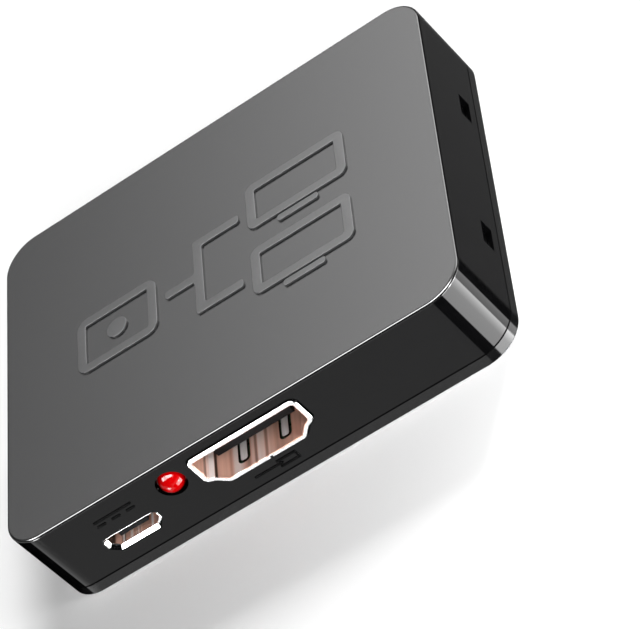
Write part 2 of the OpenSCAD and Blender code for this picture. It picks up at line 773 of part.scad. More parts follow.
module contact_slot(z, grow) {
    y = tongue_recess + contact_start - grow;
    translate([y, z - grow]) square([socket_len + cut - y, contact_t + 2 * grow]);
}

module socket_insulator() {
    color("#1b1b1c")
        difference() {
            union() {
                along_y(block_start, socket_len) socket_outline(-block_gap);
                along_x(-tongue_w / 2, tongue_w / 2)
                    polygon([[tongue_recess, tongue_z + tongue_bevel],
                        [tongue_recess + tongue_bevel, tongue_z],
                        [block_start + eps, tongue_z], [block_start + eps, tongue_z + tongue_t],
                        [tongue_recess + tongue_bevel, tongue_z + tongue_t],
                        [tongue_recess, tongue_z + tongue_t - tongue_bevel]]);
                translate([0, (block_start + block_gap + socket_len) / 2, 0])
                    block(socket_foot_w, socket_len - block_start - block_gap, 0,
                        socket_lift + socket_slope_h / 2);
            }
            contact_rows(contact_gap);
        }
}

module socket_contacts() {
    tip = tongue_recess + contact_start;
    color("#c8a24a") {
        for (i = [0 : 9])
            contact((i - 4.5) * contact_pitch, contact_w, tip, tongue_z + tongue_t - contact_t, contact_rear);
        for (i = [0 : 8])
            contact((i - 4) * contact_pitch, contact_w, tip, tongue_z, contact_rear);
    }
}

module input_shell() {
    placed(input_place) socket_shell();
}

module input_insulator() {
    placed(input_place) socket_insulator();
}

module input_contacts() {
    placed(input_place) socket_contacts();
}

module output_1_shell() {
    placed(output_1_place) socket_shell();
}

module output_1_insulator() {
    placed(output_1_place) socket_insulator();
}

module output_1_contacts() {
    placed(output_1_place) socket_contacts();
}

module output_2_shell() {
    placed(output_2_place) socket_shell();
}

module output_2_insulator() {
    placed(output_2_place) socket_insulator();
}

module output_2_contacts() {
    placed(output_2_place) socket_contacts();
}

// Power socket

module power_shell() {
    color("#cfcfd2")
        placed(power_place) {
            difference() {
                union() {
                    along_y(0, power_len) power_outline(power_sheet_t);
                    along_y(0, power_sheet_t) power_outline(power_sheet_t + power_flare);
                }
                along_y(-cut, power_len + cut) power_outline(0);
            }
            for (s = [-1, 1])
                translate([s * power_leg_x, power_leg_y, 0])
                    block(power_sheet_t, power_leg_w, -board_t - leg_reach / 2, power_lift + power_h);
        }
}

module power_insulator() {
    color("#1b1b1c")
        placed(power_place)
            difference() {
                union() {
                    along_y(power_block_start, power_len) power_outline(-block_gap);
                    translate([0, (power_tongue_recess + power_block_start) / 2, 0])
                        block(power_tongue_w, power_block_start - power_tongue_recess + 2 * eps,
                            power_tongue_z, power_tongue_z + power_tongue_t);
                }
                for (i = [-2 : 2])
                    translate([i * power_pitch, (power_slot + power_len + cut) / 2, 0])
                        block(power_contact_w + 2 * contact_gap, power_len + cut - power_slot,
                            power_tongue_z - contact_gap, power_tongue_z + contact_t + contact_gap);
            }
}

module power_contacts() {
    color("#c8a24a")
        placed(power_place)
            for (i = [-2 : 2])
                contact(i * power_pitch, power_contact_w, power_slot + contact_gap, power_tongue_z,
                    power_rear);
}

// Status light

module light_frame() {
    for (x = leads)
        translate([x, light_base, light_mid])
            along_y(-light_len * 0.45, eps) square(lead_t, center = true);
    translate([leads[0], light_base, light_mid])
        along_y(-light_len * 0.62, -light_len * 0.4)
            translate([-lead_t / 2, -lead_t / 2]) square([lead_pitch * 0.62, lead_t]);
}

module light_lens() {
    r = light_d / 2;
    color([0.85, 0.03, 0.03, 0.8])
        difference() {
            translate([light_x, light_base, light_mid])
                rotate([90, 0, 0])
                    rotate_extrude() {
                        square([r, light_len - r]);
                        square([r + collar_w, collar_t]);
                        translate([0, light_len - r])
                            intersection() {
                                circle(r);
                                translate([0, -eps]) square([r, r + eps]);
                            }
                    }
            light_frame();
        }
}

module light_leads() {
    color("#b9babd") {
        light_frame();
        for (x = leads)
            along_x(x - lead_t / 2, x + lead_t / 2)
                polygon([[light_base, light_mid - lead_t / 2], [lead_bend, light_mid - lead_t / 2],
                    [lead_bend, board_z - leg_reach], [lead_bend + lead_t, board_z - leg_reach],
                    [lead_bend + lead_t, light_mid], [lead_bend + lead_t / 2, light_mid + lead_t / 2],
                    [light_base, light_mid + lead_t / 2]]);
    }
}

// Chips

module splitter_chip_body() {
    color("#1f1f21")
        translate([chip_x, chip_y, board_top])
            chip_body(chip_size, chip_size, chip_lift, chip_lift + chip_t);
}

module splitter_chip_leads() {
    color("#c4c5c8")
        translate([chip_x, chip_y, board_top])
            for (turn = [0 : 90 : 270], i = [0 : chip_count - 1])
                rotate(turn)
                    translate([(i - (chip_count - 1) / 2) * chip_pitch, chip_size / 2, 0])
                        gull_lead(chip_lead_w, chip_lift + (chip_t - chip_lead_t) / 2, chip_lead_t,
                            chip_shoulder, chip_drop, chip_foot);
}

module memory_chip_body() {
    color("#1f1f21")
        translate([memory_x, memory_y, board_top])
            chip_body(memory_w, memory_d, memory_lift, memory_lift + memory_t);
}

module memory_chip_leads() {
    color("#c4c5c8")
        translate([memory_x, memory_y, board_top])
            for (turn = [0, 180], i = [-1.5 : 1 : 1.5])
                rotate(turn)
                    translate([i * memory_pitch, memory_d / 2, 0])
                        gull_lead(memory_lead_w, memory_lift + (memory_t - memory_lead_t) / 2, memory_lead_t,
                            memory_shoulder, memory_drop, memory_foot);
}

module regulator_body() {
    color("#1f1f21")
        translate([regulator_x, regulator_y, board_top])
            chip_body(regulator_w, regulator_d, chip_lift, chip_lift + regulator_t);
}

module regulator_lead(w) {
    translate([0, regulator_d / 2, 0])
        gull_lead(w, chip_lift + (regulator_t - regulator_lead_t) / 2, regulator_lead_t,
            regulator_shoulder, regulator_drop, regulator_foot);
}

module regulator_leads() {
    color("#c4c5c8")
        translate([regulator_x, regulator_y, board_top]) {
            for (i = [-1 : 1])
                rotate(180) translate([i * regulator_pitch, 0, 0]) regulator_lead(regulator_lead_w);
            regulator_lead(regulator_tab_w);
        }
}

module crystal_outline(grow) {
    square([crystal_w, crystal_d + 2 * grow], center = true);
    for (s = [-1, 1])
        translate([s * crystal_w / 2, 0]) circle(crystal_d / 2 + grow);
}

module crystal_base() {
    color("#2b2b2d")
        translate([crystal_x, crystal_y, board_top])
            block(crystal_base_w, crystal_base_d, crystal_lead_t, crystal_base_top);
}

module crystal_can() {
    color("#d2d3d6")
        translate([crystal_x, crystal_y, board_top + crystal_base_top]) {
            linear_extrude(crystal_flange_t) crystal_outline(crystal_flange);
            linear_extrude(crystal_h) crystal_outline(0);
        }
}

module crystal_leads() {
    color("#c4c5c8")
        translate([crystal_x, crystal_y, board_top])
            for (s = [-1, 1])
                translate([s * crystal_lead_x, 0, 0])
                    block(crystal_lead_l, crystal_lead_w, 0, crystal_lead_t);
}

module capacitor_cans() {
    r = can_d / 2;
    top = can_h - can_base_top;
    groove = can_neck_z + can_neck;
    color("#c8c9cc")
        for (i = [0, 1])
            translate([can_x, board_d / 2 - can_y + i * can_pitch, board_top + can_base_top])
                rotate_extrude()
                    polygon([[0, 0], [r - can_base_edge, 0], [r, can_base_edge], [r, can_neck_z],
                        [r - can_neck, groove], [r - can_neck, groove + can_neck_h],
                        [r, groove + can_neck_h + can_neck], [r, top - can_round], [r - can_round, top],
                        [0, top]]);
}

module capacitor_bases() {
    s = can_d / 2 + can_base_edge;
    c = s - can_base_corner;
    color("#1c1c1d")
        for (i = [0, 1])
            translate([can_x, board_d / 2 - can_y + i * can_pitch, board_top + can_lead_t])
                linear_extrude(can_base_t)
                    polygon([[-s, -s], [c, -s], [s, -c], [s, c], [c, s], [-s, s]]);
}

module capacitor_leads() {
    color("#c4c5c8")
        for (i = [0, 1], s = [-1, 1])
            translate([can_x + s * (can_d / 2 - can_lead_inset), board_d / 2 - can_y + i * can_pitch,
                board_top])
                block(can_lead_l, can_lead_w, 0, can_lead_t);
}

module chip_bodies(places, h) {
    for (p = places)
        translate([p[0], p[1], board_top])
            rotate(p[2])
                block(small_l, small_w, small_skin, h - small_skin);
}

module chip_ends(places, h) {
    for (p = places, s = [-1, 1])
        translate([p[0], p[1], board_top])
            rotate(p[2])
                translate([s * (small_l + small_end) / 2, 0, 0])
                    block(small_end, small_end_w, 0, h);
}

module chip_capacitor_bodies() {
    color("#a98b62") chip_bodies(cap_places, cap_h);
}

module chip_capacitor_ends() {
    color("#cfd0d2") chip_ends(cap_places, cap_h);
}

module chip_resistor_bodies() {
    color("#222224") chip_bodies(resistor_places, resistor_h);
}

module chip_resistor_ends() {
    color("#cfd0d2") chip_ends(resistor_places, resistor_h);
}

module protection_bodies() {
    color("#1f1f21")
        for (p = array_places)
            translate([p[0], p[1], board_top])
                rotate(p[2])
                    chip_body(protection_w, protection_d, chip_lift, chip_lift + protection_t);
}

module protection_leads() {
    color("#c4c5c8")
        for (p = array_places, turn = [0, 180], i = [-1 : 1])
            translate([p[0], p[1], board_top])
                rotate(p[2] + turn)
                    translate([i * protection_pitch, protection_d / 2, 0])
                        gull_lead(protection_lead_w, chip_lift + (protection_t - protection_lead_t) / 2,
                            protection_lead_t, protection_shoulder, protection_drop, protection_foot);
}

module diode_body() {
    color("#1f1f21")
        translate([diode_x, diode_y, board_top])
            chip_body(diode_w, diode_d, chip_lift, chip_lift + diode_t);
}

module diode_leads() {
    color("#c4c5c8")
        translate([diode_x, diode_y, board_top])
            for (turn = [90, 270])
                rotate(turn)
                    translate([0, diode_w / 2, 0])
                        gull_lead(diode_lead_w, chip_lift + (diode_t - diode_lead_t) / 2, diode_lead_t,
                            diode_bend, diode_bend, diode_foot);
}

// Pieces

top_cover();
bottom_cover();
circuit_board();
input_shell();
input_insulator();
input_contacts();
output_1_shell();
output_1_insulator();
output_1_contacts();
output_2_shell();
output_2_insulator();
output_2_contacts();
power_shell();
power_insulator();
power_contacts();
light_lens();
light_leads();
splitter_chip_body();
splitter_chip_leads();
memory_chip_body();
memory_chip_leads();
regulator_body();
regulator_leads();
crystal_can();
crystal_base();
crystal_leads();
capacitor_cans();
capacitor_bases();
capacitor_leads();
chip_capacitor_bodies();
chip_capacitor_ends();
chip_resistor_bodies();
chip_resistor_ends();
protection_bodies();
protection_leads();
diode_body();
diode_leads();
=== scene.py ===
import math

import bmesh
import bpy
from bpy.props import FloatProperty, FloatVectorProperty, IntProperty, PointerProperty
from bpy.types import Operator, Panel, PropertyGroup
from mathutils import Matrix, Vector


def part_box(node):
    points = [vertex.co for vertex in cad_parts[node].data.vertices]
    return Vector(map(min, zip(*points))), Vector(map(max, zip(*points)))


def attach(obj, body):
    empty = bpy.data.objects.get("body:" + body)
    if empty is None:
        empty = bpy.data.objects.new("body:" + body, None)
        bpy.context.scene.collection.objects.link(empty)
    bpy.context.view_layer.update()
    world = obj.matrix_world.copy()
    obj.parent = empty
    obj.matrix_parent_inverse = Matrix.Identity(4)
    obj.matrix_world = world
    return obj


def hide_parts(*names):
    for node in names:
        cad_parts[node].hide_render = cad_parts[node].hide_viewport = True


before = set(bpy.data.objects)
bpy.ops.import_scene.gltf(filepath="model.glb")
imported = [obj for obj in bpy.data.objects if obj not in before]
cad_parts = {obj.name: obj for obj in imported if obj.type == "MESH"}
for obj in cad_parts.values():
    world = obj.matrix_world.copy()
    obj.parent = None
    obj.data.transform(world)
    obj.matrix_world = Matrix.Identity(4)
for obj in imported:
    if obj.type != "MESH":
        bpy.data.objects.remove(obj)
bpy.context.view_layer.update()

bl_info = {
    "name": "Video splitter finish",
    "version": (1, 0, 0),
    "blender": (4, 5, 0),
    "location": "View3D > Sidebar > Splitter",
    "description": "Fine meshes, finishes and a studio for a small video splitter",
    "category": "Object",
}

# Meshes are drawn in millimetres and brought to metres when they are seated.
MM = 0.001
BODY = "root"


# Sizes and colours that a user would change

def length(name, description, size):
    """A length property whose default is given in millimetres."""
    return FloatProperty(name=name, description=description, default=size * MM, unit="LENGTH", precision=5)


def colour(name, description, value):
    """A colour property in linear light."""
    return FloatVectorProperty(name=name, description=description, default=value, subtype="COLOR",
                               size=3, min=0.0, max=1.0)


def factor(name, description, value):
    """A plain number from nothing to all."""
    return FloatProperty(name=name, description=description, default=value, subtype="FACTOR",
                         min=0.0, max=1.0)


def whole(name, description, value):
    """A number of like pieces."""
    return IntProperty(name=name, description=description, default=value, min=1)


def lamp_power(name, description, value):
    """The power of a lamp in watts."""
    return FloatProperty(name=name, description=description, default=value, subtype="POWER", unit="POWER")


def node_mm(node):
    """The lowest and highest corners of a CAD node, in millimetres."""
    low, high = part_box(node)
    return low / MM, high / MM


TOP_LOW, TOP_HIGH = node_mm("top_cover")
BOARD_LOW, BOARD_HIGH = node_mm("circuit_board")
INPUT_LOW, INPUT_HIGH = node_mm("input_shell")
POWER_LOW, POWER_HIGH = node_mm("power_shell")
LENS_LOW, LENS_HIGH = node_mm("light_lens")
HOOK_TOP = node_mm("bottom_cover")[1].z


class CaseSizes(PropertyGroup):
    """Sizes of the two covers"""
    corner: length("Corner radius", "Radius of the upright corners", 4.7)
    roof_round: length("Roof rounding", "Rounding of the edge round the roof", 0.33)
    foot_round: length("Foot rounding", "Rounding of the edge round the floor", 0.1)
    seam: length("Parting line", "Height of the groove between the covers", 0.22)
    groove: length("Groove", "Depth of the groove between the covers", 0.35)
    wall: length("Wall", "Thickness of the upright walls", 1.6)
    roof: length("Roof", "Thickness of the roof", 1.2)
    floor: length("Floor", "Thickness of the floor", 1.3)
    edge: length("Opening bevel", "Bevel round the openings in the walls", 0.08)
    relief: length("Relief", "Height of the raised marks", 0.28)


class SocketSizes(PropertyGroup):
    """Sizes of the video and power sockets"""
    video_width: length("Video width", "Width of a video opening", 14.0)
    video_height: length("Video height", "Height of a video opening", 4.5)
    sheet: length("Sheet", "Thickness of the shell metal", 0.3)
    flare: length("Rim", "Width of the rim beyond the shell metal", 0.3)
    port_gap: length("Port gap", "Clearance between a socket and its opening", 0.12)
    power_width: length("Power width", "Width of the power opening", 6.9)
    power_height: length("Power height", "Height of the power opening", 1.85)
    contact_pitch: length("Contact pitch", "Spacing of the contacts of a video socket", 1.0)
    upper_contacts: whole("Upper contacts", "Contacts above the tongue", 10)
    lower_contacts: whole("Lower contacts", "Contacts below the tongue", 9)


class FinishColours(PropertyGroup):
    """Colours of the finishes"""
    satin: colour("Satin black", "Satin plastic of the roof", (0.009, 0.009, 0.0094))
    relief: colour("Relief black", "Satin plastic of the raised mark", (0.042, 0.042, 0.043))
    gloss: colour("Gloss black", "Polished plastic of the walls", (0.0022, 0.0022, 0.0024))
    tray: colour("Tray black", "Softer plastic of the bottom cover", (0.006, 0.006, 0.0062))
    nickel: colour("Nickel", "Plated rims", (0.92, 0.92, 0.93))
    rose: colour("Rose metal", "Warm drawn metal inside the sockets", (0.68, 0.4, 0.31))
    lens: colour("Lens", "Red moulded lens", (0.42, 0.0, 0.001))
    board: colour("Board", "Lacquer of the circuit board", (0.012, 0.085, 0.035))
    gold: colour("Gold", "Plated contacts", (0.85, 0.56, 0.2))
    wall_gloss: factor("Wall roughness", "Roughness of the polished walls", 0.045)
    roof_gloss: factor("Roof roughness", "Roughness of the satin roof", 0.25)


class StudioSettings(PropertyGroup):
    """Camera and light"""
    lens: FloatProperty(name="Lens", description="Focal length of the camera in millimetres", default=176.1)
    key: lamp_power("Key light", "Power of the softbox behind the part", 5.2)
    front: lamp_power("Front light", "Power of the softbox before the part", 2.0)
    side: lamp_power("Side light", "Power of the small softbox at the right", 0.05)
    fill: factor("Fill", "Level of the light all round", 0.13)
    floor: factor("Floor", "Lightness of the floor", 0.9)


def mm(group, name):
    """A length property in millimetres."""
    return round(getattr(group, name) / MM, 5)


# Shared shapes, in millimetres

ARC_STEPS = 8
CORNER_STEPS = 28
CREASE = 35
SHEET_CREASE = 30


def placed(name, data):
    """A new object in the scene."""
    made = bpy.data.objects.new(name, data)
    bpy.context.scene.collection.objects.link(made)
    return made


def rounded_outline(corners, radii, grow=0.0, steps=ARC_STEPS):
    """Points round an outline that runs counter-clockwise, each corner an arc, grown outwards."""
    points = []
    for i, here in enumerate(corners):
        before = Vector(corners[i - 1])
        after = Vector(corners[(i + 1) % len(corners)])
        here = Vector(here)
        arriving = (here - before).normalized()
        leaving = (after - here).normalized()
        cross = arriving.x * leaving.y - arriving.y * leaving.x
        turn = math.atan2(cross, arriving.dot(leaving))
        start = math.atan2(-arriving.x, arriving.y)
        side = 1 if turn > 0 else -1
        bisector = Vector((math.cos(start + turn / 2), math.sin(start + turn / 2)))
        centre = here - side * bisector * radii[i] / math.cos(turn / 2)
        reach = side * radii[i] + grow
        for k in range(steps + 1):
            angle = start + turn * k / steps
            points.append((centre.x + reach * math.cos(angle), centre.y + reach * math.sin(angle)))
    return points


def turn_outwards(mesh, merge=0.0):
    """Merges points that lie closer than a distance, and turns the faces of a mesh outwards."""
    work = bmesh.new()
    work.from_mesh(mesh)
    if merge:
        bmesh.ops.remove_doubles(work, verts=work.verts, dist=merge)
    bmesh.ops.recalc_face_normals(work, faces=work.faces)
    work.to_mesh(mesh)
    work.free()


def solid(name, points, faces, marks):
    """A closed mesh with its faces turned outwards, and a place for each finish that it marks."""
    mesh = bpy.data.meshes.new(name)
    mesh.from_pydata(points, [], faces)
    for _ in range(max(marks) + 1):
        mesh.materials.append(None)
    mesh.polygons.foreach_set("material_index", marks)
    turn_outwards(mesh)
    return placed(name, mesh)


def loft(name, rings, loop=False, marks=None, cap_marks=(0, 0)):
    """A skin over rings of equally many points, closed by caps or back on its first ring."""
    count = len(rings[0])
    points = [p for ring in rings for p in ring]
    faces = []
    indices = []
    for a in range(len(rings) if loop else len(rings) - 1):
        b = (a + 1) % len(rings)
        for i in range(count):
            j = (i + 1) % count
            faces.append((a * count + i, a * count + j, b * count + j, b * count + i))
            indices.append(marks[a] if marks else 0)
    if not loop:
        last = (len(rings) - 1) * count
        faces.append(tuple(range(count)))
        faces.append(tuple(range(last, last + count)))
        indices.extend(cap_marks)
    return solid(name, points, faces, indices)


def block(low, high):
    """A box between two corners."""
    ring = [(low[0], low[1]), (high[0], low[1]), (high[0], high[1]), (low[0], high[1])]
    return loft("block", [[(x, y, z) for x, y in ring] for z in (low[2], high[2])])


def prism_x(profile, x0, x1):
    """A profile in Y and Z drawn out along X."""
    return loft("prism", [[(x, y, z) for y, z in profile] for x in (x0, x1)])


def prism_y(profile, y0, y1):
    """A profile in X and Z drawn out along Y."""
    return loft("prism", [[(x, y, z) for x, z in profile] for y in (y0, y1)])


def turned(name, profile, centre, axis, steps=48):
    """A profile of radius and distance turned round an axis, Y or Z, with flat ends."""
    rings = []
    for radius, along in profile:
        ring = []
        for k in range(steps):
            u = radius * math.cos(2 * math.pi * k / steps)
            v = radius * math.sin(2 * math.pi * k / steps)
            ring.append((centre[0] + u, along, centre[2] + v) if axis == "Y"
                        else (centre[0] + u, centre[1] + v, along))
        rings.append(ring)
    return loft(name, rings)


def join(pieces):
    """Several pieces as one object."""
    work = bmesh.new()
    for piece in pieces:
        work.from_mesh(piece.data)
    mesh = bpy.data.meshes.new("joined")
    work.to_mesh(mesh)
    work.free()
    for piece in pieces:
        bpy.data.objects.remove(piece)
    return placed("joined", mesh)


def bake(piece):
    """Turns what the modifiers make into the piece's own mesh."""
    graph = bpy.context.evaluated_depsgraph_get()
    mesh = bpy.data.meshes.new_from_object(piece.evaluated_get(graph))
    piece.modifiers.clear()
    piece.data = mesh
    return piece


def combine(piece, others, operation):
    """Adds the others to a piece, or cuts them out of it."""
    tool = join(others)
    step = piece.modifiers.new("combine", "BOOLEAN")
    step.operation = operation
    step.solver = "EXACT"
    step.object = tool
    bake(piece)
    bpy.data.objects.remove(tool)
    return piece


def smooth(piece, angle=CREASE):
    """Smooth shading up to an angle, with flats kept flat."""
    piece.data.shade_smooth()
    piece.data.set_sharp_from_angle(angle=math.radians(angle))
    step = piece.modifiers.new("flats", "WEIGHTED_NORMAL")
    step.keep_sharp = True
    return bake(piece)


def seat(piece, name, slot, materials, *nodes):
    """Brings a piece to metres, dresses it and ties it to the body."""
    piece.name = name
    piece.data.name = name
    piece.data.transform(Matrix.Scale(MM, 4))
    slots = piece.data.materials
    for i, material in enumerate(materials):
        if i < len(slots):
            slots[i] = material
        else:
            slots.append(material)
    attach(piece, BODY)
    if nodes:
        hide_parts(*nodes)
    return piece


# Finishes

GRAIN_RANGE = (0.3, 0.7)


def shader_of(material):
    """The shader of a material."""
    return material.node_tree.nodes["Principled BSDF"]


def finish(name, base, roughness, **sockets):
    """A new material with its plain values on the shader's own sockets."""
    material = bpy.data.materials.new(name)
    material.use_nodes = True
    shader = shader_of(material)
    shader.inputs["Base Color"].default_value = (*base, 1.0)
    shader.inputs["Roughness"].default_value = roughness
    for socket, value in sockets.items():
        shader.inputs[socket.replace("_", " ")].default_value = value
    return material


def node(holder, kind, **values):
    """A node of a material or world, with its settings."""
    made = holder.node_tree.nodes.new(kind)
    for key, value in values.items():
        setattr(made, key, value)
    return made


def feed(holder, socket, value):
    """Sets a socket to a number, or links it to another socket."""
    if isinstance(value, (int, float)):
        socket.default_value = value
    else:
        holder.node_tree.links.new(value, socket)


def calc(holder, operation, a, b):
    """A math node on two sockets or numbers."""
    made = node(holder, "ShaderNodeMath", operation=operation)
    feed(holder, made.inputs[0], a)
    feed(holder, made.inputs[1], b)
    return made.outputs[0]


def blended(holder, share, a, b):
    """Two sockets or numbers mixed by a share."""
    made = node(holder, "ShaderNodeMix")
    for key, value in (("Factor", share), ("A", a), ("B", b)):
        feed(holder, made.inputs[key], value)
    return made.outputs["Result"]


def ranged(holder, field, start, end, low, high):
    """A field brought from one range to another, and held at its ends."""
    made = node(holder, "ShaderNodeMapRange")
    for key, value in (("From Min", start), ("From Max", end), ("To Min", low), ("To Max", high)):
        made.inputs[key].default_value = value
    feed(holder, made.inputs["Value"], field)
    return made.outputs["Result"]


def colour_ramp(holder, field, stops):
    """A ramp over a field, from a list of places and colours."""
    ramp = node(holder, "ShaderNodeValToRGB")
    elements = ramp.color_ramp.elements
    while len(elements) < len(stops):
        elements.new(0.5)
    for element, (place, value) in zip(elements, stops):
        element.position = place
        element.color = (*value, 1.0)
    feed(holder, ramp.inputs["Fac"], field)
    return ramp.outputs["Color"]


def level_ramp(holder, field, stops):
    """A ramp of grey levels over a field."""
    return colour_ramp(holder, field, [(place, (level,) * 3) for place, level in stops])


def noise(material, scale, stretch=(1.0, 1.0, 1.0), detail=3.0):
    """Noise on Object coordinates, at a scale in features to the metre."""
    place = node(material, "ShaderNodeTexCoord")
    mapping = node(material, "ShaderNodeMapping")
    mapping.inputs["Scale"].default_value = stretch
    texture = node(material, "ShaderNodeTexNoise")
    texture.inputs["Scale"].default_value = scale
    texture.inputs["Detail"].default_value = detail
    feed(material, mapping.inputs["Vector"], place.outputs["Object"])
    feed(material, texture.inputs["Vector"], mapping.outputs["Vector"])
    return texture.outputs["Fac"]


def shade(material, field, stops):
    """Colours the surface by a field, through a list of places and colours."""
    feed(material, shader_of(material).inputs["Base Color"], colour_ramp(material, field, stops))


def dull(material, field, low, high):
    """Lets a field move the roughness between two values."""
    feed(material, shader_of(material).inputs["Roughness"], ranged(material, field, *GRAIN_RANGE, low, high))


def emboss(material, field, height):
    """Lets a field raise the surface, by a height in millimetres."""
    bump = node(material, "ShaderNodeBump")
    bump.inputs["Strength"].default_value = 1.0
    bump.inputs["Distance"].default_value = height * MM
    feed(material, bump.inputs["Height"], field)
    feed(material, shader_of(material).inputs["Normal"], bump.outputs["Normal"])


def tint(value, amount):
    """A colour made lighter or darker."""
    return tuple(min(1.0, v * amount) for v in value)


def grained(name, base, roughness, scale, spread=0.12, height=0.0, stretch=(1.0, 1.0, 1.0), **sockets):
    """A finish whose tone, roughness and surface vary a little with a fine grain."""
    material = finish(name, base, roughness, **sockets)
    field = noise(material, scale, stretch)
    shade(material, field, list(zip(GRAIN_RANGE, (tint(base, 1 - spread), tint(base, 1 + spread)))))
    dull(material, field, roughness * (1 - spread), roughness * (1 + spread))
    if height:
        emboss(material, noise(material, scale * 2, stretch), height)
    return material


def satin_finish(name, base, roughness):
    """Satin plastic with a fine spark-eroded grain."""
    return grained(name, base, roughness, 3500, 0.05, 0.0012, Specular_IOR_Level=0.5)


def satin_plastic(colours):
    """The satin black plastic of the roof."""
    return satin_finish("satin_plastic", colours.satin, colours.roof_gloss)


def relief_plastic(colours):
    """The same satin plastic, a little lighter on the raised mark."""
    return satin_finish("relief_plastic", colours.relief, colours.roof_gloss)


def gloss_plastic(colours):
    """Polished black plastic with a faint flow in its gloss."""
    return grained("gloss_plastic", colours.gloss, colours.wall_gloss, 250, 0.12, Specular_IOR_Level=0.2)


def edge_plastic(colours):
    """The burnished edge round the roof."""
    return grained("edge_plastic", colours.gloss, 0.12, 900, 0.1, Specular_IOR_Level=0.85)


def tray_plastic(colours):
    """The slightly softer black of the bottom cover."""
    return grained("tray_plastic", colours.tray, colours.wall_gloss * 2, 1800, 0.3, Specular_IOR_Level=0.3)


def mark_plastic(colours):
    """The dull black of the latch hooks and of the small raised marks on the walls."""
    return grained("mark_plastic", tint(colours.gloss, 0.7), 0.3, 3000, 0.15, Specular_IOR_Level=0.03)


def nickel_plate(colours):
    """Bright nickel plate with fine drawing lines."""
    return grained("nickel_plate", colours.nickel, 0.2, 900, 0.05, 0.0, (6.0, 0.4, 6.0), Metallic=1.0)


# Painted reflections and shade as streaks on drawn metal: the place of each across the opening, from dark at
# 0 through warm to pale at 1.
PAINTED_STREAKS = (
    (-12.0, 0.0), (-11.2, 0.4), (-8.75, 0.5), (-8.6, 0.2), (-8.4, 0.2), (-8.25, 0.75),
    (-8.0, 0.7), (-7.9, 0.95), (-7.2, 0.95), (-7.1, 0.0), (-6.8, 0.0), (-6.7, 0.45),
    (-5.0, 0.5), (-4.75, 0.4), (-4.3, 0.75), (-3.6, 0.85), (-2.3, 0.3), (-1.75, 0.65),
    (-1.5, 0.6), (-1.4, 0.25), (-1.15, 0.25), (-1.0, 0.75), (-0.1, 0.75), (0.1, 0.3),
    (0.35, 0.3), (0.5, 0.65), (1.2, 0.55), (1.6, 0.4), (5.6, 0.45), (5.9, 0.95),
    (6.6, 0.95), (7.2, 0.4),
)
STREAK_TILT = 0.75
STREAK_RANGE = (-13.0, 8.0)
STREAK_GRAIN = 0.3
PALE_REFLECTION = (0.95, 0.9, 0.88)


def mark_painted_streaks(piece, foot, size):
    """Gives each point its place across the painted reflection streaks, from its width and its height over
    the foot.
    """
    places = [(point.co.x - STREAK_TILT * (point.co.z - foot)) / size for point in piece.data.vertices]
    piece.data.attributes.new("streak", "FLOAT", "POINT").data.foreach_set("value", places)
    return piece


def rose_metal(colours):
    """Drawn metal inside a socket, with painted reflections and shade as warm, dark and pale streaks that run
    inwards.
    """
    material = finish("rose_metal", colours.rose, 0.3, Metallic=0.25)
    start, end = STREAK_RANGE
    place = node(material, "ShaderNodeAttribute", attribute_name="streak").outputs["Fac"]
    tone = level_ramp(material, ranged(material, place, start, end, 0.0, 1.0),
                      [((at - start) / (end - start), level) for at, level in PAINTED_STREAKS])
    grain = calc(material, "MULTIPLY", noise(material, 1500, (1.0, 0.02, 1.0), 2.0), STREAK_GRAIN)
    tone = calc(material, "SUBTRACT", calc(material, "ADD", tone, grain), STREAK_GRAIN / 2)
    rose = colours.rose
    shade(material, tone, [(0.0, tint(rose, 0.06)), (0.25, tint(rose, 0.45)), (0.5, rose),
                           (0.95, PALE_REFLECTION)])
    return material


def spring_metal(colours):
    """Pale satin metal of the spring fingers."""
    base = tint(colours.nickel, 0.72)
    return grained("spring_metal", base, 0.35, 1400, 0.12, 0.0, (3.0, 0.2, 3.0), Metallic=0.3)


def slit_shade(colours):
    """Painted shade on the sides of the slits in the sheet and on the fingers' ends and sides."""
    return grained("slit_shade", tint(colours.rose, 0.02), 0.5, 1400, 0.2, Specular_IOR_Level=0.05)


def red_lens(colours):
    """Red resin that glows over its die, with painted shade that darkens it towards its rim."""
    material = finish("red_lens", colours.lens, 0.3, Specular_IOR_Level=0.0, Coat_Weight=0.6,
                      Coat_Roughness=0.03, Emission_Color=(1.0, 0.0, 0.0, 1.0))
    place = node(material, "ShaderNodeTexCoord")
    centred = node(material, "ShaderNodeMapping")
    reach = LENS_RADIUS * MM
    centred.inputs["Location"].default_value = (-LENS_PLACE[0] * MM / reach - LENS_DIE[0], 0.0,
                                                -LENS_PLACE[2] * MM / reach - LENS_DIE[1])
    centred.inputs["Scale"].default_value = (1 / reach, 0.0, 1 / reach)
    away = node(material, "ShaderNodeVectorMath", operation="LENGTH")
    feed(material, centred.inputs["Vector"], place.outputs["Object"])
    feed(material, away.inputs[0], centred.outputs["Vector"])
    far = away.outputs["Value"]
    shade(material, far, list(zip(LENS_SHADE_FADE, (colours.lens, tint(colours.lens, 0.1)))))
    glow = ranged(material, far, *LENS_SHADE_FADE, LENS_GLOW, 0.0)
    feed(material, shader_of(material).inputs["Emission Strength"], glow)
    return material


def board_lacquer(colours):
    """The green lacquer of the circuit board."""
    return grained("board_lacquer", colours.board, 0.32, 900, 0.3, 0.002, (1.0, 3.0, 1.0))


def gold_plate(colours):
    """Thin gold on drawn contacts."""
    return grained("gold_plate", colours.gold, 0.22, 2500, 0.08, 0.0, (4.0, 0.3, 4.0), Metallic=1.0)


